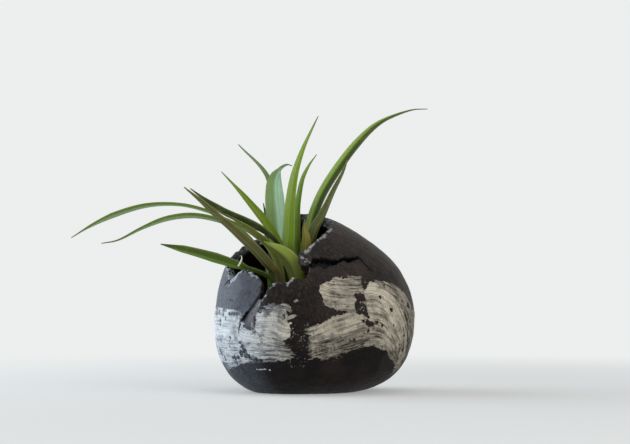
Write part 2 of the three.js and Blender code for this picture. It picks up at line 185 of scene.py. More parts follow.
# Spots that the slip has missed or popped off: azimuth, elevation and radius
BARE_SPOTS = [
    (-52.4, 11.2, 1.9), (-50.5, 10.8, 2.4), (-51.7, 9, 1.9), (-49.4, 9.6, 1.5), (-52.8, 5.8, 2.1),
    (-50.4, 4.6, 2.8), (-52.2, 3, 2), (-49.4, 2.8, 1.9), (-50, 6.6, 1.2), (-48.2, 1.2, 1.2), (-47, 0, 1),
    (-49.6, -2.2, 0.9), (-47.6, -3, 1.5), (-46, -3.6, 1.5), (-44.4, -4.2, 1.1), (-45.4, 19.8, 2.1),
    (-46.4, 17.6, 1.6), (-46.8, 15.9, 1.1), (-44.4, 18.4, 1.2), (-32.7, 16.8, 0.9), (-38.4, 10.4, 0.9),
    (-32.1, 3.3, 1), (-41.6, -3, 0.9), (-38.7, -4.8, 0.95), (-46.7, -7.3, 0.8), (-16.9, 4.9, 1.4),
    (-18.9, -1.7, 0.8), (-30.9, -4.4, 0.7), (-96.6, 0.9, 0.9), (-95.4, -0.9, 0.6), (-94.2, -2.6, 0.5),
    (-126.6, -15.8, 0.9), (-125.2, -18, 1.3), (-123.6, -20.6, 1.8), (-127, -22.2, 1.7),
    (-123.4, -23.6, 1.7), (-120.4, -24.4, 1.4), (-130.6, -24.8, 1.3), (-134, -25.4, 1.3),
    (-137.4, -25.8, 1), (-115.6, -25.6, 1.1), (-111.6, -26, 1), (-136.4, -13.4, 0.9),
    (-138.6, -18.8, 0.8), (-150, -2.8, 1.3), (-149.6, -5, 0.9), (-145, 0.6, 0.9), (-141.8, -0.8, 0.8),
    (-137, 1.9, 1), (-134.6, 1.9, 1.2), (-132.2, 1.7, 1.2), (-129.6, 1.5, 1.1), (-158.4, 2.2, 1.5),
    (-152, 3.4, 1), (-165.9, -3.2, 0.8), (-155, -20.6, 1.1), (-158, -22.8, 1.4), (-155.4, -24.6, 1.4),
    (-150, -27, 1.6), (-56.7, 23.4, 1.5), (-58.4, 23.2, 1),
    (-61, 23.4, 0.8), (-17.4, 5.2, 1.6), (-22, -9, 0.9), (-20.6, -16, 1.1), (-24.8, -13.6, 0.7),
]

# Single flecks of slip, in short rows: azimuth, elevation and radius
FLECKS = [
    (-117.1, -32.4, 0.4), (-115.9, -32.4, 0.35), (-114.6, -32.3, 0.4), (-113.4, -32.1, 0.4),
    (-112.2, -32.1, 0.45), (-111, -31.9, 0.55), (-110, -32, 0.4), (-107.2, -32.4, 0.5),
    (-97, -2.8, 0.4), (-96, -2.2, 0.55), (-95, -1.6, 0.75), (-94, -1.1, 0.9), (-93, -0.5, 1),
    (-92, -0.1, 1), (-91, 0.2, 0.9), (-90, 0.5, 0.7), (-89.3, 0.7, 0.5), (-94.4, -4.6, 0.35),
    (-93.5, -4.3, 0.5), (-92.6, -3.9, 0.55), (-91.8, -3.6, 0.45), (-89.7, 9.2, 0.7), (-88.6, 9.7, 0.75),
    (-51, 7.8, 0.5), (-50, 5.2, 0.45), (-51.6, 4, 0.5), (-49.6, 3.4, 0.4), (-45.2, 19, 0.5),
]

# Where chips of slip have spattered: azimuth, elevation and reach
SPATTER = [
    (-87, -12, 8), (-87, -20, 7.5), (-83.5, -7, 3.5), (-51.5, 4.5, 3.2), (-120, -24, 4), (-88, -26, 5.5),
    (-64, -23.5, 3.5),
]

# The wall's grid: columns by bearing, closest at the nose, and rows by spread below the edge
FRONT_BEARINGS = np.arange(209, 409, 0.6)
BACK_BEARINGS = np.arange(409, 568, 1.5)
NOSE_BEARINGS = np.arange(333.08, 334.5, 0.12)
COLUMN_GAP = 0.1
NOSE_START = 332.5
BITE_RING = 40
SCRAPE_RING = 45
KEEL_SPREAD = 136
OUTER_DROPS = np.concatenate([np.linspace(KEEL_SPREAD, 87, 24), np.arange(86, 0.1, -0.62), [0]])
NEAR_ROWS = 60
FAR = 9.0

# The flap, the flare of the far-left lip, the swell of the right shoulder and the lip
FLAP_BEARING = 288
FLARE_BEARING = 522
FLARE_HALF = 34
FLARE = 3.4
FLARE_DROP = 30
SWELL_PLACE = (-4, 23)
SWELL = 1.7
SWELL_REACH = 30
LIP_ROUND = 0.8
LIP_ROWS = 9
INNER_ROWS = 34
MEAN_EDGE = 41.5
EDGE_FADE = 45.0


def direction(azimuth, elevation):
    """Unit direction from the belly's centre, from degrees round it and up from level."""
    azimuth = np.radians(azimuth)
    elevation = np.radians(elevation)
    flat = np.cos(elevation)
    return np.stack([flat * np.cos(azimuth), flat * np.sin(azimuth), np.sin(elevation)], -1)


MOUTH_AXIS = direction(MOUTH_AZIMUTH, 90 - MOUTH_TILT)
MOUTH_SIDE = direction(MOUTH_AZIMUTH + 90, 0)
MOUTH_UP = np.cross(MOUTH_AXIS, MOUTH_SIDE)


def mouth_direction(bearing, spread):
    """Unit direction from the belly's centre, from degrees round the mouth's axis and away from it."""
    bearing = np.radians(bearing)[..., None]
    spread = np.radians(spread)[..., None]
    aside = MOUTH_SIDE * np.cos(bearing) + MOUTH_UP * np.sin(bearing)
    return MOUTH_AXIS * np.cos(spread) + aside * np.sin(spread)


def smoothstep(value, low, high):
    share = np.clip((value - low) / (high - low), 0, 1)
    return share * share * (3 - 2 * share)


def belly_point(way, inset=0.0):
    """The boulder's surface in each direction, set in by some millimetres."""
    x, y, z = np.moveaxis(way, -1, 0)
    side = np.where(x < 0, REACH_LEFT, REACH_RIGHT) - inset
    depth = np.where(y < 0, REACH_FRONT, REACH_BACK) - inset
    rise = np.where(z < 0, KEEL_DROP, CROWN_RISE) - inset
    rightness = smoothstep(x / np.maximum(np.hypot(x, y), 1e-9), -1, 1)
    upper = ROUND_UPPER_LEFT + (ROUND_UPPER_RIGHT - ROUND_UPPER_LEFT) * rightness
    power = np.where(z < 0, ROUND_LOWER, upper)
    plan = (np.abs(x / side) ** ROUND_PLAN + np.abs(y / depth) ** ROUND_PLAN) ** (1 / ROUND_PLAN)
    reach = (plan ** power + np.abs(z / rise) ** power) ** (-1 / power)
    return CENTRE + way * reach[..., None]


def lumps(points, size, seed=0.0):
    """Smooth noise from -1 to 1, with lumps about size millimetres across."""
    flat = (points.reshape(-1, 3) / size + seed).tolist()
    return np.array([noise.noise(place) for place in flat]).reshape(points.shape[:-1])


def grid_faces(rows, columns):
    """Quads of a grid that closes round its columns."""
    row = np.arange(rows - 1)[:, None] * columns
    column = np.arange(columns)[None, :]
    following = (column + 1) % columns
    corners = [row + column, row + following, row + columns + following, row + columns + column]
    return np.stack(corners, -1).reshape(-1, 4).tolist()


def capped_faces(rows, columns):
    """Faces of a grid, with a fan at each end to one of the two points that follow it."""
    faces = grid_faces(rows, columns)
    total = rows * columns
    last_row = total - columns
    for column in range(columns):
        following = (column + 1) % columns
        faces.append([total, following, column])
        faces.append([last_row + column, last_row + following, total + 1])
    return faces


def add_piece(name, points, faces, layers=None, crease=50):
    """A mesh piece from points in millimetres, with layers of one value or one colour per point."""
    mesh = bpy.data.meshes.new(name)
    mesh.from_pydata((points * MM).tolist(), [], faces)
    for layer, values in (layers or {}).items():
        kind, field = ("FLOAT", "value") if values.ndim == 1 else ("FLOAT_COLOR", "color")
        made = mesh.attributes.new(layer, kind, "POINT")
        made.data.foreach_set(field, values.astype(np.float32).ravel())
    mesh.shade_smooth()
    mesh.set_sharp_from_angle(angle=math.radians(crease))
    piece = bpy.data.objects.new(name, mesh)
    bpy.context.scene.collection.objects.link(piece)
    return piece


def edge_spread(bearing):
    """Spread of the mouth's edge at each bearing, with the small bites of torn clay."""
    smooth = np.interp(np.mod(bearing, 360), RIM[:, 0], RIM[:, 1], period=360)
    ring = BITE_RING * np.stack([np.cos(np.radians(bearing)), np.sin(np.radians(bearing)), 0 * bearing], -1)
    behind = smoothstep(np.mod(bearing, 360), 92, 116) * (1 - smoothstep(np.mod(bearing, 360), 222, 238))
    return smooth - 0.3 + (1 + behind) * (0.8 * lumps(ring, 4.5, 3) + 0.6 * lumps(ring, 1.8, 7))


corners = np.where(RIM[:, 0] < FRONT_BEARINGS[0], RIM[:, 0] + 360, RIM[:, 0])
columns = np.concatenate([FRONT_BEARINGS, BACK_BEARINGS, NOSE_BEARINGS])
columns = columns[np.abs(columns[:, None] - corners).min(axis=1) > COLUMN_GAP]
columns = np.sort(np.concatenate([columns, corners]))
edges = edge_spread(columns)

# Outer wall: rows from the keel up to the mouth, close together above the belly
drops = OUTER_DROPS[:, None]
fade = 1 - smoothstep(drops, 0, EDGE_FADE)
outer_spread = MEAN_EDGE + drops + (edges + LIP_ROUND - MEAN_EDGE) * fade

# The columns lean so that one of them runs down the tear's left lip, and others out into the nose
lean = np.interp(outer_spread, [43, *TEAR[:, 0], 84, 112], [0, *(TEAR[:, 1] - FLAP_BEARING), -18, 0])
lean = lean * (1 - smoothstep(np.abs(columns - FLAP_BEARING), 0, 50))
nose_lean = np.interp(columns, NOSE_LEAN[:, 0], NOSE_LEAN[:, 1])
lean = lean + nose_lean * (1 - smoothstep(outer_spread, 41, 45))
outer_bearing = columns + lean
outer_way = mouth_direction(outer_bearing, outer_spread)
skin = belly_point(outer_way)

tear_left = np.interp(outer_spread, TEAR[:, 0], TEAR[:, 1])
tear_right = np.interp(outer_spread, TEAR[:, 0], TEAR[:, 2])
tear_share = (outer_bearing - tear_left) / (tear_right - tear_left)
tear_width = (tear_right - tear_left) * BEARING_MM
tear_foot = TEAR_FOOT + TEAR_SLANT * np.clip(tear_share, 0, 1)
in_tear = (tear_share > LIP_SHARE) & (tear_share < 1) & (outer_spread < tear_foot)
tear_fade = 1 - smoothstep(outer_spread, tear_foot - TEAR_RUNOUT, tear_foot)
tear_inset = TEAR_DEPTH * np.clip(1 - tear_share, 0, None) ** 0.9
tear_inset = tear_inset + SLIT_DEPTH * (tear_share < 2 * SLIT_SHARE)
tear_inset = np.where(in_tear, tear_inset * tear_fade, 0)

# The flap left of the tear is bent in
flap_bend = FLAP_BEND * (1 - smoothstep(-tear_share * tear_width, 0, FLAP_REACH))
flap_bend = flap_bend * (1 - smoothstep(outer_spread, TEAR_FOOT - 9, TEAR_FOOT + 2))
tear_inset = np.where(tear_share <= LIP_SHARE, flap_bend, tear_inset)


def smooth_curve(stations, steps):
    """Evenly spaced points along a smooth curve through the stations."""
    ends = np.concatenate([[2 * stations[0] - stations[1]], stations, [2 * stations[-1] - stations[-2]]])
    line = []
    for i in range(1, len(ends) - 2):
        before, start, stop, after = ends[i - 1:i + 3]
        first = math.sqrt(np.linalg.norm(start - before))
        middle = math.sqrt(np.linalg.norm(stop - start))
        last = math.sqrt(np.linalg.norm(after - stop))
        leave = (start - before) / first - (stop - before) / (first + middle) + (stop - start) / middle
        reach = (stop - start) / middle - (after - start) / (middle + last) + (after - stop) / last
        leave = leave * middle
        reach = reach * middle
        for t in np.linspace(0, 1, 40, endpoint=False):
            bend = (-3 * start + 3 * stop - 2 * leave - reach) * t ** 2
            line.append(start + leave * t + bend + (2 * start - 2 * stop + leave + reach) * t ** 3)
    line = np.array(line + [stations[-1]])
    run = np.concatenate([[0], np.cumsum(np.linalg.norm(np.diff(line, axis=0), axis=1))])
    even = np.linspace(0, run[-1], steps + 1)
    return np.stack([np.interp(even, run, line[:, axis]) for axis in range(line.shape[1])], -1)


def trace(points, path, width):
    """Each point's way along a path, its way across it, and the path's half-width there."""
    steps = np.linalg.norm(np.diff(path, axis=0), axis=1)
    run = np.concatenate([[0], np.cumsum(steps)])
    best = np.full(points.shape[:-1], np.inf)
    along = np.zeros(best.shape)
    across = np.zeros(best.shape)
    for i, step in enumerate(steps):
        tangent = (path[i + 1] - path[i]) / step
        offset = points - path[i]
        reach = offset @ tangent
        low = -np.inf if i == 0 else 0
        high = np.inf if i == len(steps) - 1 else step
        reach = np.clip(reach, low, high)
        gap = offset - reach[..., None] * tangent
        apart = np.linalg.norm(gap, axis=-1)
        sideways = np.cross(tangent, path[i] - CENTRE)
        closer = apart < best
        best = np.where(closer, apart, best)
        along = np.where(closer, run[i] + reach, along)
        across = np.where(closer, apart * np.sign(gap @ sideways), across)
    return along, across, np.interp(along, run, width), run


# How far inside a crack or the tear's slit each point is, in millimetres
cut_gap = SLIT_HALF - np.abs(tear_share - SLIT_SHARE) * tear_width
cut_gap = np.where((outer_spread > SLIT_SPREAD) & (outer_spread < TEAR_FOOT), cut_gap, UNCUT)
wobble = 0.6 * lumps(skin, 3, 11) + 0.45 * lumps(skin, 1.3, 5)
crack_inset = np.zeros(cut_gap.shape)
for crack in CRACKS:
    crack = np.array(crack)
    along, across, half, run = trace(skin, belly_point(direction(crack[:, 0], crack[:, 1])), crack[:, 2])
    beyond = np.maximum(-along, along - run[-1])
    gap = np.minimum(half - np.abs(across + wobble * np.clip(half, 0.3, 1.5)), 0.6 - beyond)
    crack_inset = np.maximum(crack_inset, CRACK_DEPTH * smoothstep(gap, -0.1, 0.8) * np.clip(half, 0.3, 1))
    cut_gap = np.maximum(cut_gap, gap)

# The slip at each point: how far inside its stroke's sides and ends it is, its way along and across
# the stroke, and how dry the brush is. The ways are shifted, so no two strokes have the same hairs.
NO_SLIP = {"slip_side": -FAR, "slip_end": -FAR, "slip_along": 0.0, "slip_across": 0.0, "slip_dry": 0.0}
slip = {name: np.full(skin.shape[:-1], value) for name, value in NO_SLIP.items()}
for number, stroke in enumerate(STROKES.values()):
    stroke = smooth_curve(np.array(stroke, float), 3 * len(stroke))
    path = belly_point(direction(stroke[:, 0], stroke[:, 1]))
    along, across, half, run = trace(skin, path, stroke[:, 2])
    side = half - np.abs(across)
    end = np.minimum(along, run[-1] - along)
    inside = np.clip(np.minimum(side, end), -FAR, None)
    over = inside > np.minimum(slip["slip_side"], slip["slip_end"])
    brushed = {
        "slip_side": np.clip(side, -FAR, 30),
        "slip_end": np.clip(end, -FAR, 90),
        "slip_along": along + ALONG_SHIFT * number,
        "slip_across": across + ACROSS_SHIFT * number,
        "slip_dry": np.interp(along, run, stroke[:, 3]),
    }
    slip = {name: np.where(over, brushed[name], slip[name]) for name in slip}


def spot_gap(spots):
    """How far each point of the wall is outside the nearest of some round spots, in millimetres."""
    nearest = np.full(skin.shape[:-1], FAR)
    for azimuth, elevation, radius in spots:
        spot = belly_point(direction(azimuth, elevation))
        nearest = np.minimum(nearest, np.linalg.norm(skin - spot, axis=-1) - radius)
    return nearest


slip_cover = smoothstep(np.minimum(slip["slip_side"], slip["slip_end"] * 0.5), -0.3, 0.9)
slip_cover = slip_cover * (1 - slip["slip_dry"])

# The rim's far left flares out a little, and the right shoulder swells
flare = FLARE * (1 - smoothstep(np.abs(columns - FLARE_BEARING), 0, FLARE_HALF))
outer_flare = flare * (1 - smoothstep(drops, 0, FLARE_DROP))
swell_turn = np.degrees(np.arccos(np.clip(outer_way @ direction(*SWELL_PLACE), -1, 1)))
swell = SWELL * (1 - smoothstep(swell_turn, 0, SWELL_REACH))
rough = 0.45 + 0.4 * lumps(skin, 27) + 0.22 * lumps(skin, 9, 2) + 0.1 * lumps(skin, 3.4, 4)
outer_inset = rough + tear_inset + crack_inset - SLIP_THICKNESS * slip_cover - outer_flare - swell
outer = belly_point(outer_way, outer_inset)
for azimuth, elevation, depth in PALM_FLATS:
    facing = direction(azimuth, elevation)
    stand = (belly_point(outer_way) - CENTRE) @ facing
    proud = np.maximum(0, (outer - CENTRE) @ facing - (stand.max() - depth - PALM_SLACK))
    outer = outer - PALM_PRESS * proud[..., None] * facing
outer[..., 2] = np.maximum(outer[..., 2], 0)

# Lip: a lumpy turned-over edge from the outer wall to the inner one
turns = np.linspace(0, math.pi, LIP_ROWS + 2)[1:-1, None]
lip_spread = edges + LIP_ROUND * (1 - np.sin(turns))
lip_bearing = np.repeat(outer_bearing[-1:], LIP_ROWS, axis=0)
lip_start = outer_inset[-1]
lip_inset = lip_start + (WALL - flare - lip_start) * (1 - np.cos(turns)) / 2
lip_way = mouth_direction(lip_bearing, lip_spread)
lip_skin = belly_point(lip_way, lip_inset)
lip_spread = lip_spread + np.sin(turns) * (0.8 * lumps(lip_skin, 2.6, 8) + 0.5 * lumps(lip_skin, 1.2, 9))
lip = belly_point(mouth_direction(lip_bearing, lip_spread), lip_inset)

# Inner wall: finger-dented, down to the flat floor inside
inner_drops = np.linspace(0, 1, INNER_ROWS)[:, None] ** 1.2 * KEEL_SPREAD
inner_fade = 1 - smoothstep(inner_drops, 0, EDGE_FADE)
inner_spread = MEAN_EDGE + inner_drops + (edges + LIP_ROUND - MEAN_EDGE) * inner_fade
inner_bearing = columns + (outer_bearing[-1] - columns) * (1 - smoothstep(inner_drops, 0, 9))
inner_way = mouth_direction(inner_bearing, inner_spread)
inner_skin = belly_point(inner_way, WALL)
dents = 0.35 * lumps(inner_skin, 11, 6) + 0.15 * lumps(inner_skin, 4, 1) - 0.35
inner_flare = flare * (1 - smoothstep(inner_drops, 0, FLARE_DROP))
inner = belly_point(inner_way, WALL + dents * smoothstep(inner_drops, 0, 6) - inner_flare)
inner[..., 2] = np.maximum(inner[..., 2], FLOOR)

grid = np.concatenate([outer, lip, inner])
count = columns.size
rows = grid.shape[0]
keel = np.array([outer[0, :, 0].mean(), outer[0, :, 1].mean(), 0])
floor = np.array([inner[-1, :, 0].mean(), inner[-1, :, 1].mean(), FLOOR])
shell_points = np.concatenate([grid.reshape(-1, 3), [keel, floor]])

# How pale and crumbled the wall is at the mouth's edge and along the tear's right lip, with a painted
# highlight on these edges
near_rows = outer[-NEAR_ROWS:].reshape(-1, 3)
edge_gaps = np.linalg.norm(near_rows[:, None] - outer[-1][None], axis=-1).min(axis=1)
edge_gap = np.full(outer_spread.shape, FAR)
edge_gap[-NEAR_ROWS:] = edge_gaps.reshape(NEAR_ROWS, -1)
pale = np.interp(np.mod(columns, 360), PALE_EDGE[:, 0], PALE_EDGE[:, 1], period=360)
crumbled = np.interp(np.mod(columns, 360), PALE_EDGE[:, 0], PALE_EDGE[:, 2], period=360)
torn = pale * (1 - smoothstep(edge_gap, 0.3 * crumbled, 1.3 * crumbled))
torn = torn * np.where(columns > NOSE_START, 1 - smoothstep(outer_spread, 42, 43.5), 1)
right_lip = 1 - smoothstep(np.abs(tear_share - 1) * tear_width, 0.3, 1.5)
torn = np.maximum(torn, np.where((outer_spread > 50) & (outer_spread < tear_foot), 0.5 * right_lip, 0))
torn_lip = pale * np.linspace(1, 0.6, LIP_ROWS)[:, None]
hollow = rows * count - outer.size // 3


def wall_azimuth(points):
    """Degrees round the belly's centre, from -270 at the back by way of the left side to 90."""
    azimuth = np.degrees(np.arctan2(points[..., 1] - CENTRE[1], points[..., 0] - CENTRE[0]))
    return np.where(azimuth > 90, azimuth - 360, azimuth)


# The side that dust has settled on, with a painted cool sheen of the left light: the left, from the
# flap round to the back, with more of it higher up
azimuth = wall_azimuth(skin)
dust = 1 - smoothstep(azimuth, -124, -104)
dust = np.where((tear_share <= LIP_SHARE) & (outer_spread < TEAR_FOOT), 1, dust)
ebb = 34 * lumps(skin, 20, 9) + 14 * lumps(skin, 6, 4)
dust = dust * smoothstep(azimuth + ebb, -250, -186)
dust = dust * (0.45 + 0.55 * smoothstep(skin[..., 2], 14, 34))
# A painted cool cast of the left light round the left side: there the slip is whiter, bluer and more
# broken, and the torn edge bluer
azimuth = wall_azimuth(grid)
painted_cool_light = (1 - smoothstep(azimuth, -125, -82)) * smoothstep(azimuth, -235, -190)


def shell_layer(values, rest):
    """One value per point of the shell, with the same value for the lip and the inside."""
    return np.concatenate([values.ravel(), np.full(hollow + 2, float(rest))])


layers = {name: shell_layer(values, NO_SLIP[name]) for name, values in slip.items()}
layers["torn"] = np.concatenate([torn.ravel(), torn_lip.ravel(), np.zeros(inner.size // 3 + 2)])
layers["cut_gap"] = shell_layer(np.clip(cut_gap, UNCUT, -UNCUT), UNCUT)
layers["bevel"] = shell_layer(np.where(in_tear, tear_fade, 0), 0)
layers["dust"] = shell_layer(dust, 0)
for name, spots in (("missed", BARE_SPOTS), ("fleck", FLECKS), ("spatter", SPATTER)):
    layers[name] = shell_layer(spot_gap(spots), FAR)
layers["painted_cool_light"] = np.concatenate([painted_cool_light.ravel(), [0, 0]])
ring_bearing = np.radians(np.concatenate([outer_bearing, lip_bearing, inner_bearing]).ravel())
ring_spread = np.concatenate([outer_spread, lip_spread, inner_spread]).ravel()
ring = SCRAPE_RING * np.stack([np.cos(ring_bearing), np.sin(ring_bearing)], -1)
ring = np.concatenate([ring, np.repeat(ring_spread[:, None], 2, axis=1)], axis=1)
layers["ring"] = np.concatenate([ring, np.zeros((2, 4))])
layers["inside"] = np.concatenate([
    np.zeros(outer.size // 3), np.repeat(np.linspace(0, 0.4, LIP_ROWS), count),
    np.repeat(0.4 + 0.6 * smoothstep(inner_drops, 0, 9), count), np.ones(2),
])
pot = add_piece("pot_wall", shell_points, capped_faces(rows, count), layers, crease=42)


class Flow:
    """An output socket of the material that is being made. Arithmetic on it adds Math nodes."""

    nodes = None
    links = None

    def __init__(self, socket):
        self.socket = socket

    @classmethod
    def node(cls, kind, settings=None, sockets=None, output=0):
        """Adds a node: its settings first, then the values or links of its sockets."""
        made = cls.nodes.new("ShaderNode" + kind)
        for name, value in (settings or {}).items():
            setattr(made, name, value)
        for name, value in (sockets or {}).items():
            if isinstance(value, Flow):
                cls.links.new(value.socket, made.inputs[name])
            else:
                made.inputs[name].default_value = value
        return cls(made.outputs[output])

    def math(self, operation, first, second):
        return self.node("Math", {"operation": operation}, {0: first, 1: second})

    def __add__(self, other):
        return self.math("ADD", self, other)

    def __radd__(self, other):
        return self.math("ADD", other, self)

    def __sub__(self, other):
        return self.math("SUBTRACT", self, other)

    def __rsub__(self, other):
        return self.math("SUBTRACT", other, self)

    def __mul__(self, other):
        return self.math("MULTIPLY", self, other)

    def __rmul__(self, other):
        return self.math("MULTIPLY", other, self)

    def __truediv__(self, other):
        return self.math("DIVIDE", self, other)

    def least(self, other):
        return self.math("MINIMUM", self, other)

    def most(self, other):
        return self.math("MAXIMUM", self, other)


def open_nodes(owner):
    """Empties a new material or world, which the following nodes go into."""
    owner.use_nodes = True
    Flow.nodes = owner.node_tree.nodes
    Flow.links = owner.node_tree.links
    Flow.nodes.clear()
    return owner


def open_material(name):
    return open_nodes(bpy.data.materials.new(name))


def show(shader, kind="Material"):
    """Sends a shader to the output of the material or world."""
    output = Flow.nodes.new("ShaderNodeOutput" + kind)
    Flow.links.new(shader.socket, output.inputs["Surface"])


def close_material(colour, roughness, height, specular, **constants):
    """The shader itself: height is in millimetres, and the constants go on the shader's own sockets."""
    normal = Flow.node("Bump", None, {"Strength": 1.0, "Distance": MM, "Height": height})
    sockets = {
        "Base Color": colour,
        "Roughness": roughness,
        "Normal": normal,
        "Specular IOR Level": specular,
    }
    sockets.update({name.replace("_", " "): value for name, value in constants.items()})
    show(Flow.node("BsdfPrincipled", None, sockets))


def shade(red, green, blue):
    """A colour as it is seen, 0 to 255, in the linear values that shaders take."""
    seen = np.array([red, green, blue]) / 255
    linear = np.where(seen <= 0.04045, seen / 12.92, ((seen + 0.055) / 1.055) ** 2.4)
    return (*linear.tolist(), 1.0)


def layer(name):
    return Flow.node("Attribute", {"attribute_name": name}, None, "Fac")


def rise(value, low, high):
    """0 below low, 1 above high, smooth between."""
    sockets = {"Value": value, "From Min": low, "From Max": high}
    return Flow.node("MapRange", {"interpolation_type": "SMOOTHSTEP"}, sockets)


def blend(mask, below, above):
    return Flow.node("Mix", {"data_type": "RGBA"}, {0: mask, 6: below, 7: above}, 2)


def surface():
    """The place on the piece, in metres."""
    return Flow.node("TexCoord", None, None, "Object")


def stretched(place, factors):
    """A place with each of its axes scaled."""
    return Flow.node("VectorMath", {"operation": "MULTIPLY"}, {0: place, 1: factors})


def clouds(place, detail=2.0, roughness=0.5, scale=1.0):
    """Noise from 0 to 1, with features about one unit across at a scale of 1."""
    sockets = {"Vector": place, "Scale": scale, "Detail": detail, "Roughness": roughness}
    return Flow.node("TexNoise", None, sockets)


def speckle(place, size, detail=2.0, roughness=0.5):
    """Noise from 0 to 1 with features about size millimetres across."""
    return clouds(place, detail, roughness, 1 / (size * MM))


def cells(place, size):
    """Distance to the nearest of scattered points, in cells about size millimetres across."""
    return Flow.node("TexVoronoi", None, {"Vector": place, "Scale": 1 / (size * MM)}, "Distance")


CLAY_DARK = shade(15, 9, 9)
CLAY_WARM = shade(41, 33, 29)
CLAY_SCRAPED_LIT = shade(104, 90, 77)
CLAY_DUST_AND_SHEEN = shade(108, 117, 130)
SLIP_CREAM = shade(240, 230, 208)
SLIP_CREAM_COOL_LIT = shade(248, 252, 255)
SLIP_THIN = shade(122, 116, 107)
SLIP_THIN_COOL_LIT = shade(132, 146, 164)
SLIP_WORN = shade(46, 42, 39)
SLIP_WORN_COOL_LIT = shade(72, 82, 98)
RIM_PALE_LIT = shade(206, 202, 192)
RIM_PALE_COOL_LIT = shade(196, 208, 220)
TORN_DARK = shade(26, 25, 27)
TORN_GREY = shade(110, 109, 113)
TORN_FLECK = shade(164, 162, 160)
CRACK_SHADE = shade(10, 8, 9)
PIT_SHADE = shade(14, 12, 12)
HOLLOW_SHADE = shade(20, 17, 16)


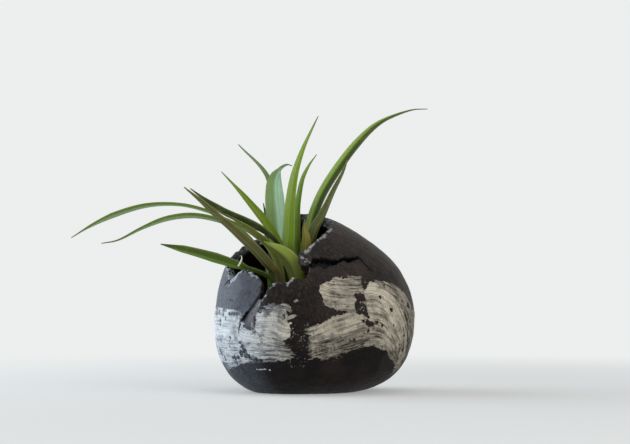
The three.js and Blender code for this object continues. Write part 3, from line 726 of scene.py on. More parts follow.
def fired_clay():
    """Dark stoneware body with scrapes, pits, dry-brushed slip and pale torn edges, with painted light
    and shade: a cool sheen and cast on the left, a paler top, shade in the pits, cracks and hollow,
    and highlights on the torn edges.
    """
    material = open_material("dark_stoneware_and_slip")
    place = surface()
    mottle = speckle(place, 16, 4, 0.6)
    patch = speckle(place, 5, 3, 0.6)
    fine = speckle(place, 2.2, 4, 0.6)
    sand = speckle(place, 1.2, 3, 0.7)
    grit = speckle(place, 0.7, 2, 0.7)
    ring = Flow.node("Attribute", {"attribute_name": "ring"}, None, "Vector")
    scrapes = clouds(stretched(ring, (0.9, 0.9, 0.06)), 3, 0.6)
    pits = 1 - rise(cells(place, 3.1), 0.13, 0.26)
    pits = pits * rise(patch, 0.5, 0.58)
    inside = layer("inside")
    torn = layer("torn")
    cut_gap = layer("cut_gap") + (grit - 0.5) * 0.5

    clay = blend(rise(mottle, 0.42, 0.75), CLAY_DARK, CLAY_WARM)
    level = Flow.node("SeparateXYZ", None, {0: place}, "Z") / MM
    # Scrapes and grain grow paler and warmer toward the top: real scraping, with painted light on the upper
    # part and painted shade low down
    scraped_and_lit = rise(scrapes, 0.45, 0.75) * rise(mottle, 0.35, 0.65) * rise(level, 12.0, 70.0)
    clay = blend(0.26 * scraped_and_lit, clay, CLAY_SCRAPED_LIT)
    # Dust on the left, partly a painted cool sheen of the left light
    settled = 0.44 + 0.1 * rise(scrapes, 0.35, 0.7) + 0.3 * rise(fine * 0.5 + patch * 0.5, 0.4, 0.6)
    settled = settled + 1.8 * (sand - 0.5)
    clay = blend(layer("dust") * settled, clay, CLAY_DUST_AND_SHEEN)
    grain = rise(sand * 0.6 + fine * 0.4, 0.46, 0.68)
    clay = blend(0.4 * grain * rise(level, 15.0, 60.0), clay, CLAY_SCRAPED_LIT)
    stain = rise(sand * 0.5 + patch * 0.5, 0.5, 0.6) * rise(level, 34.0, 62.0)
    clay = blend(0.5 * stain, clay, CLAY_DARK)
    # The tear's slanted face: grey broken clay, partly painted light where it faces the left light
    clay = blend(0.9 * layer("bevel"), clay, TORN_GREY)
    # Painted shade in the pinholes
    clay = blend(0.8 * pits, clay, PIT_SHADE)
    # Painted shade on the wall inside the hollow
    clay = blend(0.7 * rise(inside, 0.5, 1), clay, HOLLOW_SHADE)

    along = layer("slip_along")
    across = layer("slip_across")
    dry = layer("slip_dry")

    def bristles(length, width, offset):
        """Noise drawn out along the brush stroke: lines of some length and width in millimetres."""
        spot = Flow.node("CombineXYZ", None, {0: along / length, 1: across / width, 2: offset})
        return clouds(spot)

    broad = bristles(34.0, 2.4, 0.0)
    streak = bristles(18.0, 0.95, 4.0)
    hair = bristles(9.0, 0.36, 8.0)
    ragged = (patch - 0.5) * 5 + (fine - 0.5) * 4
    side = layer("slip_side") + ragged + (streak - 0.5) * 2
    teeth = 2 + dry * 30
    end = layer("slip_end") + (streak - 0.5) * teeth + (hair - 0.5) * teeth * 0.4 + ragged * 0.5
    cover = rise(side.least(end), -0.05, 0.22)
    load = broad * 0.3 + streak * 0.4 + hair * 0.4 + (fine - 0.5) * 0.4 + (patch - 0.5) * 0.25
    wet = rise(load, 0.27 + dry * 0.34, 0.36 + dry * 0.37)
    broken = rise(fine * 0.6 + patch * 0.6, 0.58, 0.68) * (1 - rise(side, 1.5, 6.0))
    broken = broken * rise(layer("slip_end"), 4.0, 7.0)
    # Painted cool cast of the left light on the slip
    painted_cool_light = layer("painted_cool_light")
    cover = cover * wet * (1 - broken * (0.15 + 0.8 * painted_cool_light))
    wander = Flow.node("TexNoise", None, {"Vector": place, "Scale": 1 / (1.6 * MM)}, "Color")
    wander = Flow.node("VectorMath", {"operation": "SCALE"}, {0: wander, "Scale": 7 * MM})
    strayed = Flow.node("VectorMath", {"operation": "ADD"}, {0: place, 1: wander})
    missed = layer("missed") + (fine - 0.5) * 3.2 + (grit - 0.5) * 1.2
    cover = cover * rise(missed, -0.15, 0.15)
    cover = cover.most(1 - rise(layer("fleck") + (fine - 0.5) * 0.8, -0.1, 0.12))
    chips = 1 - rise(cells(stretched(strayed, (0.7, 0.7, 1.3)), 1.7), 0.2, 0.3)
    chips = chips * rise(speckle(place, 3.4), 0.43, 0.5) * (1 - rise(layer("spatter"), -2.2, 0.5))
    cover = cover.most(chips) * (1 - rise(layer("bevel"), 0.2, 0.7))

    worn = 0.4 * rise(broad, 0.42, 0.64) + (0.45 + 0.15 * painted_cool_light) * rise(patch, 0.46, 0.64) + dry
    lines = 0.65 * rise(streak, 0.46, 0.58) + 0.4 * rise(hair, 0.45, 0.58)
    lines = lines * (0.45 + 0.7 * rise(speckle(place, 8, 2), 0.42, 0.6) + dry * 0.5)
    cream = blend(painted_cool_light, SLIP_CREAM, SLIP_CREAM_COOL_LIT)
    rubbed = blend(painted_cool_light, SLIP_WORN, SLIP_WORN_COOL_LIT)
    thin = blend(painted_cool_light, SLIP_THIN, SLIP_THIN_COOL_LIT)
    cream = blend((worn * (0.7 - 0.32 * painted_cool_light)).least(0.9), cream, thin)
    cream = blend((lines * (0.5 + 0.5 * worn) * (1 - 0.2 * painted_cool_light)).least(1.0), cream, rubbed)
    cream = blend((0.55 - 0.1 * painted_cool_light) * rise(sand, 0.52, 0.7), cream, rubbed)
    crumbs = rise(fine * 0.75 + patch * 0.45 + torn * 0.14, 0.62, 0.75)
    flecks = rise(fine * 0.75 + patch * 0.45, 0.68, 0.74)
    colour = blend(cover, clay, cream)
    broken_clay = blend(rise(fine, 0.42, 0.66), TORN_DARK, TORN_GREY)
    colour = blend(rise(torn, 0.08, 0.5) * 0.85, colour, broken_clay)
    # Pale crumbs on the torn edges, partly a painted highlight along them
    colour = blend(rise(torn, 0.35, 0.85) * crumbs, colour, blend(painted_cool_light, RIM_PALE_LIT, RIM_PALE_COOL_LIT))
    colour = blend(rise(torn, 0.03, 0.1) * flecks, colour, TORN_FLECK)
    # Painted shade in the cracks and in the tear's slit
    colour = blend(rise(cut_gap, -0.12, 0.2), colour, CRACK_SHADE)

    ridges = cover * (0.22 + (hair - 0.5) * 0.5 + (streak - 0.5) * 0.5)
    height = ridges + (fine - 0.5) * 0.3 + (grit - 0.5) * 0.1 + (scrapes - 0.5) * 0.2 - pits * 0.35
    height = height + torn * (fine - 0.5) * 1.6
    roughness = 0.5 + (fine - 0.5) * 0.25 + cover * 0.25
    close_material(colour, roughness, height, 0.14)
    return material


pot.data.materials.append(fired_clay())
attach(pot, "pot")
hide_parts("pot_shell")


# Potting mix: crumbs of bark and coir, dark and damp, pressed into the pot and left a finger below
# the mouth. The root ball stands in a socket in it, and lifts out.
MIX_DEPTH = 39.0
MIX_TOP = FLOOR + MIX_DEPTH
FIT_GAP = 0.3
STEM_AXIS = np.array([CENTRE[0] - 2.75, CENTRE[1] - 18, 0])
ROOT_DEPTH = 28.0
ROOT_TOP = MIX_TOP + 0.5
ROOT_TOP_RADIUS = 14.5
ROOT_FOOT_RADIUS = 9.0
MIX_COLUMNS = 144
SOCKET_ROWS = 12
TOP_ROWS = 26
SIDE_ROWS = 14
BARK_CHIPS = 230
BARK_SEED = 5


def cavity_ring(height, inset):
    """Level section of the pot's hollow, as one point per column."""
    turn = np.linspace(0, 360, MIX_COLUMNS, endpoint=False)
    x = np.cos(np.radians(turn))
    y = np.sin(np.radians(turn))
    above = height - CENTRE[2]
    tall = (CROWN_RISE if above >= 0 else KEEL_DROP) - inset
    rightness = smoothstep(x, -1, 1)
    upper = ROUND_UPPER_LEFT + (ROUND_UPPER_RIGHT - ROUND_UPPER_LEFT) * rightness
    power = upper if above >= 0 else ROUND_LOWER + 0 * upper
    plan = (1 - (abs(above) / tall) ** power) ** (1 / power)
    side = np.where(x < 0, REACH_LEFT, REACH_RIGHT) - inset
    depth = np.where(y < 0, REACH_FRONT, REACH_BACK) - inset
    reach = plan / (np.abs(x / side) ** ROUND_PLAN + np.abs(y / depth) ** ROUND_PLAN) ** (1 / ROUND_PLAN)
    return np.stack([CENTRE[0] + reach * x, CENTRE[1] + reach * y, np.full(x.shape, height)], -1)


def socket_ring(height, gap):
    """Level section of the root ball's socket, as one point per column."""
    turn = np.linspace(0, 2 * math.pi, MIX_COLUMNS, endpoint=False)
    share = (height - (ROOT_TOP - ROOT_DEPTH)) / ROOT_DEPTH
    radius = ROOT_FOOT_RADIUS + (ROOT_TOP_RADIUS - ROOT_FOOT_RADIUS) * share + gap
    ring = np.stack([np.cos(turn) * radius, np.sin(turn) * radius, np.full(turn.shape, height)], -1)
    return ring + STEM_AXIS


socket_floor = ROOT_TOP - ROOT_DEPTH - FIT_GAP
socket_rows = [socket_ring(height, FIT_GAP) for height in np.linspace(socket_floor, MIX_TOP, SOCKET_ROWS)]
side_heights = np.linspace(MIX_TOP, FLOOR + FIT_GAP, SIDE_ROWS)
wall_rows = [cavity_ring(height, WALL + FIT_GAP) for height in side_heights]
shares = np.linspace(0, 1, TOP_ROWS)[1:-1, None, None]
top_rows = socket_rows[-1] + (wall_rows[0] - socket_rows[-1]) * shares
crumble = 0.9 * lumps(top_rows, 5, 1) + 0.7 * lumps(top_rows, 2.2, 3) + 0.4 * lumps(top_rows, 1.1, 5)
settle = smoothstep(shares[..., 0], 0, 0.15) * (1 - smoothstep(shares[..., 0], 0.9, 1))
top_rows[..., 2] += (crumble - 0.6) * settle
mix_grid = np.concatenate([np.array(socket_rows), top_rows, np.array(wall_rows)])
mix_ends = [STEM_AXIS + [0, 0, socket_floor], CENTRE * [1, 1, 0] + [0, 0, FLOOR + FIT_GAP]]
mix_points = [mix_grid.reshape(-1, 3), mix_ends]
mix_faces = capped_faces(mix_grid.shape[0], MIX_COLUMNS)
mix_total = mix_grid.shape[0] * MIX_COLUMNS
mix_tint = [np.zeros(mix_total + 2)]

# Loose bark chips on top: flattened eight-sided crumbs, each turned its own way
CHIP_FORM = np.array([
    (1, 0, 0.2), (0.6, 0.7, -0.1), (-0.1, 0.9, 0.2), (-0.8, 0.6, 0),
    (-1, -0.1, 0.15), (-0.6, -0.8, 0), (0.1, -0.9, 0.2), (0.8, -0.6, -0.1),
])
CHIP_SIDES = len(CHIP_FORM)
CHIP_POINTS = 2 * CHIP_SIDES + 2
draw = np.random.default_rng(BARK_SEED)
chip_start = mix_total + 2
for chip in range(BARK_CHIPS):
    column = draw.integers(MIX_COLUMNS)
    share = draw.uniform(0.1, 0.93)
    spot = socket_rows[-1][column] + (wall_rows[0][column] - socket_rows[-1][column]) * share
    size = draw.uniform(0.8, 2.6)
    turn = draw.uniform(0, 2 * math.pi)
    lean = draw.uniform(-0.5, 0.5)
    slim = draw.uniform(0.35, 0.9)
    ring = CHIP_FORM * (1 + draw.uniform(-0.25, 0.25, (CHIP_SIDES, 1))) * [size, size * slim, size * 0.5]
    low = ring * [0.9, 0.9, 1] - [0, 0, size * 0.45]
    body = np.concatenate([ring, low, [[0, 0, size * 0.28], [0, 0, -size * 0.7]]])
    body[:, 2] += body[:, 0] * lean
    turned = body.copy()
    turned[:, 0] = body[:, 0] * math.cos(turn) - body[:, 1] * math.sin(turn)
    turned[:, 1] = body[:, 0] * math.sin(turn) + body[:, 1] * math.cos(turn)
    mix_points.append(turned + spot + [0, 0, size * 0.2])
    crown = chip_start + 2 * CHIP_SIDES
    for corner in range(CHIP_SIDES):
        here = chip_start + corner
        after = chip_start + (corner + 1) % CHIP_SIDES
        mix_faces.append([here + CHIP_SIDES, after + CHIP_SIDES, after, here])
        mix_faces.append([here, after, crown])
        mix_faces.append([after + CHIP_SIDES, here + CHIP_SIDES, crown + 1])
    chip_start += CHIP_POINTS
    mix_tint.append(np.full(CHIP_POINTS, draw.uniform(0.2, 1)))
mix_layers = {"chip": np.concatenate(mix_tint)}
mix = add_piece("bark_mix", np.concatenate(mix_points), mix_faces, mix_layers, crease=30)

BARK_DARK = shade(24, 18, 15)
BARK_BROWN = shade(62, 45, 33)
BARK_FIBRE = shade(112, 88, 62)
BARK_DRY = shade(104, 78, 56)


def fibres(place, scales, detail):
    """Noise drawn out along an axis, with the scales in features to the millimetre."""
    return clouds(stretched(place, [scale / MM for scale in scales]), detail)


def damp_bark():
    """Dark crumbs, with paler fibres and dry chips on top."""
    material = open_material("damp_bark_mix")
    place = surface()
    crumbs = speckle(place, 3, 5, 0.65)
    dust = speckle(place, 0.8, 3, 0.7)
    fibre = fibres(place, (0.25, 1.2, 0.5), 3)
    chip = layer("chip")
    colour = blend(rise(crumbs, 0.35, 0.7), BARK_DARK, BARK_BROWN)
    colour = blend(0.5 * rise(fibre, 0.58, 0.72), colour, BARK_FIBRE)
    colour = blend(0.55 * chip * rise(dust, 0.3, 0.7), colour, BARK_DRY)
    height = (crumbs - 0.5) * 0.9 + (dust - 0.5) * 0.35 + (fibre - 0.5) * 0.2
    close_material(colour, 0.7 + 0.25 * dust, height, 0.3)
    return material


mix.data.materials.append(damp_bark())
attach(mix, "pot")
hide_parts("potting_mix")


# Root ball: a plug of coir bound by the plant's own roots, which run down its sides. It keeps the
# taper of the nursery pot it was raised in.
BALL_COLUMNS = 96
BALL_ROWS = 40
BALL_TOP_ROWS = 12
ROOT_STRANDS = 46
STRAND_STEPS = 26
STRAND_SIDES = 6
ROOT_SEED = 11
COIR_DARK = shade(34, 25, 19)
COIR_BROWN = shade(88, 66, 46)
COIR_FIBRE = shade(140, 110, 76)
ROOT_PALE = shade(190, 170, 128)
ROOT_BROWN = shade(140, 112, 76)


def unit(ways):
    """Each way at a length of 1."""
    return ways / np.linalg.norm(ways, axis=-1)[..., None]


def tube_faces(rows, columns):
    """Faces of a closed tube: its grid, and one face at each end."""
    ring = np.arange(columns)
    return grid_faces(rows, columns) + [ring[::-1].tolist(), ((rows - 1) * columns + ring).tolist()]


ball_sides = np.linspace(ROOT_TOP - ROOT_DEPTH, ROOT_TOP, BALL_ROWS)
ball_heights = np.concatenate([ball_sides, np.full(BALL_TOP_ROWS, ROOT_TOP)])
ball_shrink = np.concatenate([np.ones(BALL_ROWS), np.linspace(0.95, 0.06, BALL_TOP_ROWS)])
turn = np.linspace(0, 2 * math.pi, BALL_COLUMNS, endpoint=False)
share = (ball_heights - ball_heights[0]) / ROOT_DEPTH
radius = (ROOT_FOOT_RADIUS + (ROOT_TOP_RADIUS - ROOT_FOOT_RADIUS) * share) * ball_shrink
ball_grid = np.stack([
    radius[:, None] * np.cos(turn), radius[:, None] * np.sin(turn),
    np.repeat(ball_heights[:, None], BALL_COLUMNS, axis=1),
], -1) + STEM_AXIS
worn = 0.5 + 0.35 * lumps(ball_grid, 4, 2) + 0.35 * lumps(ball_grid, 1.7, 6)
inward = unit(ball_grid - (STEM_AXIS + [0, 0, ROOT_TOP - 14]))
ball_grid -= np.clip(worn, 0, 1.4)[..., None] * inward
ball_ends = [STEM_AXIS + [0, 0, ROOT_TOP - ROOT_DEPTH], STEM_AXIS + [0, 0, ROOT_TOP - 0.3]]
ball_points = [ball_grid.reshape(-1, 3), ball_ends]
ball_faces = capped_faces(ball_grid.shape[0], BALL_COLUMNS)
ball_total = ball_grid.shape[0] * BALL_COLUMNS
ball_tint = [np.zeros(ball_total + 2)]

draw = np.random.default_rng(ROOT_SEED)
strand_start = ball_total + 2
strand_turn = np.linspace(0, 2 * math.pi, STRAND_SIDES, endpoint=False)[:, None]
for strand in range(ROOT_STRANDS):
    around = draw.uniform(0, 2 * math.pi)
    top = draw.uniform(0.55, 1)
    foot = draw.uniform(0.02, 0.4)
    thick = draw.uniform(0.22, 0.5)
    sway = draw.uniform(0.15, 0.5)
    pace = draw.uniform(2, 5)
    share = np.linspace(top, foot, STRAND_STEPS)
    bearing = around + sway * np.sin(pace * share + strand) + 0.12 * np.sin(4 * pace * share)
    reach = ROOT_FOOT_RADIUS + (ROOT_TOP_RADIUS - ROOT_FOOT_RADIUS) * share - thick - 0.1
    spine = np.stack([reach * np.cos(bearing), reach * np.sin(bearing), share * ROOT_DEPTH], -1)
    spine += STEM_AXIS + [0, 0, ROOT_TOP - ROOT_DEPTH]
    forward = unit(np.gradient(spine, axis=0))
    outward = np.stack([np.cos(bearing), np.sin(bearing), 0 * bearing], -1)
    aside = unit(np.cross(forward, outward))
    girth = thick * np.linspace(1, 0.35, STRAND_STEPS)[:, None, None]
    tube = outward[:, None] * np.cos(strand_turn) + aside[:, None] * np.sin(strand_turn)
    tube = spine[:, None] + girth * tube
    ball_points.append(tube.reshape(-1, 3))
    for face in tube_faces(STRAND_STEPS, STRAND_SIDES):
        ball_faces.append([strand_start + corner for corner in face[::-1]])
    strand_start += STRAND_STEPS * STRAND_SIDES
    ball_tint.append(np.full(STRAND_STEPS * STRAND_SIDES, draw.uniform(0.6, 1)))
ball_layers = {"root": np.concatenate(ball_tint)}
ball = add_piece("coir_and_roots", np.concatenate(ball_points), ball_faces, ball_layers)


def matted_roots():
    """Brown coir with pale fleshy roots."""
    material = open_material("coir_and_roots")
    place = surface()
    crumbs = speckle(place, 2.4, 5, 0.65)
    fibre = fibres(place, (1.1, 1.1, 0.2), 3)
    root = layer("root")
    colour = blend(rise(crumbs, 0.35, 0.7), COIR_DARK, COIR_BROWN)
    colour = blend(0.6 * rise(fibre, 0.55, 0.7), colour, COIR_FIBRE)
    root_colour = blend(rise(crumbs, 0.3, 0.8), ROOT_PALE, ROOT_BROWN)
    colour = blend(root * 0.85, colour, root_colour)
    height = (crumbs - 0.5) * 0.6 + (fibre - 0.5) * 0.4
    close_material(colour, 0.85 - 0.2 * root, height, 0.3)
    return material


ball.data.materials.append(matted_roots())
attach(ball, "plant")
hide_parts("root_ball")


# Stem: the short pale heart of the plant, wrapped in the stubs of old leaf sheaths, from which the
# leaves come in three rings.
STEM_RADIUS = 2.2
STEM_TIP_RADIUS = 1.2
STEM_HEIGHT = 10.0
LEAF_FOOT_Z = ROOT_TOP + FIT_GAP
STEM_COLUMNS = 40
STEM_ROWS = 36
SHEATH_GREEN = shade(146, 152, 96)
SHEATH_CREAM = shade(182, 184, 134)
SHEATH_BLUSH = shade(150, 112, 84)

climb = np.linspace(0, 1, STEM_ROWS)
turn = np.linspace(0, 2 * math.pi, STEM_COLUMNS, endpoint=False)
sheath = 0.12 * (1 - (climb[:, None] * 4 + turn / (2 * math.pi)) % 1)
girth = STEM_RADIUS + (STEM_TIP_RADIUS - STEM_RADIUS) * climb[:, None] - 0.15 + sheath
girth = girth * np.sqrt(np.clip(1 - ((climb[:, None] - 0.9) / 0.1).clip(0) ** 2 * 0.9, 0.05, 1))
stem_grid = np.stack([
    girth * np.cos(turn), girth * np.sin(turn), LEAF_FOOT_Z + STEM_HEIGHT * climb[:, None] + 0 * turn,
], -1) + STEM_AXIS
stem_ends = [STEM_AXIS + [0, 0, LEAF_FOOT_Z], STEM_AXIS + [0, 0, LEAF_FOOT_Z + STEM_HEIGHT]]
stem_points = np.concatenate([stem_grid.reshape(-1, 3), stem_ends])
stem = add_piece("heart_stem", stem_points, capped_faces(stem_grid.shape[0], STEM_COLUMNS))


def pale_sheath():
    """Waxy cream-green sheath with fine lengthwise lines."""
    material = open_material("pale_sheath")
    place = surface()
    lines = fibres(place, (2.2, 2.2, 0.12), 2)
    blush = speckle(place, 5, 2)
    colour = blend(rise(lines, 0.35, 0.65), SHEATH_GREEN, SHEATH_CREAM)
    colour = blend(0.5 * rise(blush, 0.5, 0.7), colour, SHEATH_BLUSH)
    close_material(colour, 0.4 + 0.2 * blush, (lines - 0.5) * 0.15, 0.4)
    return material


stem.data.materials.append(pale_sheath())
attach(stem, "plant")
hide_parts("plant_stem")


# Leaves: tough strap leaves, each one folded into a channel along its middle and drawn out to a
# dry point. They stand in three rings on the root ball and arch out over the mouth's edge.
FIRST_RING = 1.8
RING_STEP = 3.5
FOOT_WIDTH = 4.0
FOOT_HEIGHT = 5.0
TIP_WIDTH = 0.5
LEAF_THICKNESS = 0.9
MARGIN_THICKNESS = 0.35
CHANNEL_SLOPE = 0.34
TAPER_POWER = 1.8
TURN_BY = 0.3
DRY_START = 0.86
SHADE_END = 0.22
LEAF_STEPS = 56
LEAF_HALF = 6

GREEN = shade(104, 136, 30)
BRIGHT = shade(118, 146, 20)
DEEP = shade(64, 90, 24)
DARK = shade(54, 72, 20)
MOSS = shade(80, 106, 30)
LIME = shade(164, 180, 80)
BLUISH = shade(106, 130, 76)
LEAFY = shade(156, 190, 126)
TEAL_HIGHLIGHT = shade(152, 176, 132)
FROSTED_SHEEN = shade(210, 255, 222)
OLIVE = shade(98, 96, 52)
SAGE = shade(98, 106, 62)
BROWN_SHADE = shade(116, 122, 62)
STRAW = shade(190, 180, 136)
AMBER = shade(126, 128, 52)
ORANGE = shade(152, 128, 52)
BLOTCH = shade(150, 150, 70)
MIDRIB = shade(190, 205, 140)
VEIN_TINT = (0.5, 0.6, 0.4, 1.0)

# Each leaf: ring, bearing of its foot, heading, width, the share of its length where it is widest,
# roll, its spine past the foot as reach and rise over the mouth's edge, and the colours of its
# upper side, its underside and its tip
LEAVES = {
    "leaf_left_long": (1, 176, 163, 5, 0.35, 15, [
        (3, 10), (13, 20), (30, 29), (40, 33.5), (56, 37.5), (75.5, 37.5), (95, 33), (110.5, 27),
        (123, 20.5)], GREEN, GREEN, OLIVE),
    "leaf_left_arched": (2, 178, 180, 5, 0.35, 15, [
        (2.5, 8), (9, 18.5), (17.5, 26), (28, 30.5), (41.5, 33), (55.5, 31.5), (69, 26.5), (82.5, 20),
        (91, 18.5)], GREEN, GREEN, OLIVE),
    "leaf_over_flap": (2, 206, 196, 7, 0.6, 45, [
        (1, 0), (11, 5), (18.5, 7), (39.5, 13), (60, 18)], MOSS, MOSS, DARK),
    "leaf_olive": (2, 234, 222, 6, 0.3, 35, [
        (1, -3.5), (7, 2), (14.5, 8.5), (24, 15), (32, 20.5), (41, 26), (53, 34), (62, 39.5)],
        DEEP, OLIVE, OLIVE),
    "leaf_left_dark": (0, 200, 174, 5.5, 0.35, 10, [
        (2, 15), (11.5, 24), (21.5, 29), (33, 34.5), (43.5, 41.5), (51, 47.5)], DARK, DARK, OLIVE),
    "leaf_left_inner": (1, 228, 206, 5.5, 0.35, 10, [
        (1, 0), (8, 13), (17.5, 20.5), (31.5, 29)], BLUISH, AMBER, OLIVE),
    "leaf_front_short": (2, 290, 208, 9.5, 0.5, 45, [
        (1, -3.5), (3, 2), (6.5, 6.5), (12, 10.5), (19.5, 14.5)], DEEP, LIME, BRIGHT),
    "leaf_back_left": (0, 118, 156, 5.5, 0.35, -40, [
        (5, 12), (8.5, 18.5), (13, 25), (23.5, 37), (30, 44), (40.5, 54.5)], BRIGHT, GREEN, GREEN),
    "leaf_back_tall": (2, 105, 123, 4.5, 0.35, 0, [
        (3, -14), (9, 6), (13, 21), (18.5, 38.5), (52.5, 62)], BLUISH, BLUISH, OLIVE),
    "leaf_back_short": (2, 138, 120, 4, 0.35, 0, [
        (3, -16), (7, 1), (14.5, 22.5)], DEEP, BLUISH, OLIVE),
    "leaf_back_broad": (1, 110, 133, 12, 0.6, -40, [
        (2, -7), (6, 10), (8, 23), (9.5, 35), (9.5, 43.5), (6, 49), (-0.5, 51.5), (-4.5, 50.5)],
        LEAFY, LEAFY, OLIVE),
    "leaf_upright": (0, 275, 55, 8.2, 0.4, 0, [
        (-3, -21), (-2.5, -10.5), (-2, -1), (-0.5, 8.5), (3, 20.5), (10.2, 34), (19.8, 47.2), (25.5, 54.5)],
        BRIGHT, BRIGHT, DEEP),
    "leaf_upright_short": (1, 58, 66, 5.5, 0.45, 0, [
        (-1.5, -9.5), (-1.5, -3), (-1, 3), (1, 9.5), (5.5, 18.5), (14.5, 27), (25, 34)],
        GREEN, GREEN, SAGE),
    "leaf_right_long": (2, 22, 26, 8, 0.4, 20, [
        (-1, -8), (5, 11), (20.5, 34.2), (35, 49.8), (45, 57), (64.5, 64.2), (75, 65.3)],
        BRIGHT, BRIGHT, DEEP),
    "leaf_right_short": (2, 350, 345, 5.5, 0.35, -40, [
        (-1, -12), (1.6, -1.5), (7, 8.5), (12.4, 20), (18.6, 32), (20.5, 37.5)], SAGE, SAGE, OLIVE),
    "leaf_withered": (1, 318, 318, 5, 0.35, -48, [
        (1.5, -16), (3.5, -5), (4, 0), (2.8, 6), (3, 10.5)], AMBER, AMBER, OLIVE),
}

# What sets some leaves apart: how steeply they fold, with a ridge where it is negative, how they
# roll along their length, their widths along it, and a band of another colour, for most of them
# painted shade or highlight of the fold: its side, where it starts and ends across the half-width,
# the share of the length it starts at, and its colour
FOLDS = {
    "leaf_right_long": -0.36, "leaf_upright": -0.16, "leaf_upright_short": -0.3, "leaf_front_short": 0.5,
    "leaf_back_broad": -0.3,
}
TWISTS = {
    "leaf_left_long": [(0, 0), (0.3, 15), (0.6, 15), (0.85, 35), (1, 30)],
    "leaf_left_arched": [(0, 0), (0.3, 15), (0.5, 28), (0.7, 35), (0.85, 20), (1, 10)],
    "leaf_left_dark": [(0, 0), (0.35, 15), (0.55, 35), (0.8, 45), (1, 40)],
}
GIRTHS = {
    "leaf_back_broad": [
        (0, 4), (0.35, 10), (0.55, 11.4), (0.7, 10.4), (0.78, 8.6), (0.83, 6), (0.87, 2.4), (1, 0.5)],
    "leaf_over_flap": [(0, 4), (0.15, 4), (0.36, 2.6), (0.41, 5.6), (0.6, 7), (0.84, 5), (1, 0.4)],
    "leaf_withered": [(0, 4), (0.3, 5.2), (0.7, 5.6), (0.85, 3.4), (1, 0.5)],
    "leaf_front_short": [(0, 5), (0.3, 9), (0.55, 9.5), (0.75, 7), (0.9, 3), (1, 0.4)],
    "leaf_upright": [
        (0, 4), (0.2, 7.4), (0.33, 8), (0.45, 7.2), (0.6, 5.6), (0.71, 4.1), (0.83, 2.5),
        (0.91, 1.6), (1, 0.4)],
    "leaf_right_long": [
        (0, 4), (0.3, 7.8), (0.5, 8.4), (0.64, 7.8), (0.76, 6), (0.86, 3.6), (0.94, 1.6), (1, 0.4)],
    "leaf_left_inner": [(0, 4), (0.3, 6.4), (0.55, 7.4), (0.8, 5), (1, 0.4)],
    "leaf_left_dark": [(0, 4), (0.3, 6.6), (0.6, 7), (0.8, 5), (0.92, 2.2), (1, 0.4)],
    "leaf_back_left": [(0, 4), (0.35, 5.5), (0.6, 5.3), (0.78, 3.2), (0.88, 1.6), (1, 0.4)],
    "leaf_right_short": [(0, 4), (0.2, 8), (0.36, 8.4), (0.5, 6.4), (0.7, 3.8), (0.85, 2.6), (1, 0.5)],
    "leaf_upright_short": [(0, 3.6), (0.3, 3.8), (0.6, 3.4), (0.8, 2.4), (1, 0.4)],
    "leaf_left_long": [
        (0, 4), (0.3, 5.4), (0.42, 5), (0.56, 4), (0.7, 4.6), (0.82, 4.2), (0.9, 2.4), (0.95, 1.1),
        (1, 0.3)],
    "leaf_left_arched": [(0, 4), (0.3, 5), (0.6, 4.8), (0.75, 3.8), (0.88, 2), (0.95, 0.9), (1, 0.3)],
}
# Painted shade: the dark half of the right long leaf, the brown half of the front short leaf, and the dark
# and olive halves of the left dark leaf. Painted highlights and sheen: the teal band of the left long and
# arched leaves, the frosted half of the back broad leaf and the bluish half of the left inner leaf.
SECOND_HALVES = {
    "leaf_back_broad": (-1, 0, 2, 0.4, FROSTED_SHEEN), "leaf_left_long": (-1, -0.55, 0.35, 0.36, TEAL_HIGHLIGHT),
    "leaf_left_arched": (-1, -0.55, 0.35, 0.36, TEAL_HIGHLIGHT), "leaf_right_long": (-1, 0.3, 2, 0, DARK),
    "leaf_front_short": (-1, 0, 2, 0, BROWN_SHADE), "leaf_withered": (1, 0.25, 2, 0, ORANGE),
    "leaf_over_flap": (-1, 0, 2, 0, GREEN), "leaf_left_inner": (-1, 0, 2, 0, BLUISH),
    "leaf_left_dark": (-1, 0, 2, 0.3, OLIVE),
}

# The mouth's edge before its small tears, which the leaves' heights are counted from
MOUTH_EDGE = np.array([
    (5, 32), (20, 33), (32, 34.5), (46, 35), (64, 35.5), (78, 30), (92, 30), (101, 34.5),
    (121, 40), (138, 45.5), (152, 48.5), (161, 50), (176, 52), (197, 45), (212, 44), (235, 43),
    (246, 43.5), (251, 40), (256, 36), (266, 35), (276, 35), (285, 38.5), (288, 43), (289, 52),
    (294, 50), (298, 47.5), (305, 47.5), (311, 48.5), (316, 46.5), (322, 50.5), (330, 47.5),
    (333, 43), (335, 37), (340, 33), (351, 32),
])

edge_points = belly_point(mouth_direction(MOUTH_EDGE[:, 0], MOUTH_EDGE[:, 1]))


def edge_height(heading):
    """How high the mouth's edge is where a heading from the stem crosses it."""
    ray = direction(heading, 0)[:2]
    near = edge_points[:, :2] - STEM_AXIS[:2]
    far = np.roll(near, -1, axis=0)
    near_side = ray[0] * near[:, 1] - ray[1] * near[:, 0]
    far_side = ray[0] * far[:, 1] - ray[1] * far[:, 0]
    share = near_side / (near_side - far_side)
    meets = near + (far - near) * share[:, None]
    level = edge_points[:, 2] + (np.roll(edge_points[:, 2], -1) - edge_points[:, 2]) * share
    crossing = (share >= 0) & (share <= 1) & (meets @ ray > 0)
    return level[crossing].max()


def leaf_width(width, widest, along):
    growing = FOOT_WIDTH + (width - FOOT_WIDTH) * smoothstep(along, 0, widest)
    past = np.clip((along - widest) / (1 - widest), 0, 1)
    return np.where(along < widest, growing, width + (TIP_WIDTH - width) * past ** TAPER_POWER)


def toward(colour, other, share):
    """A colour part of the way to another."""
    return colour + (np.array(other) - colour) * share


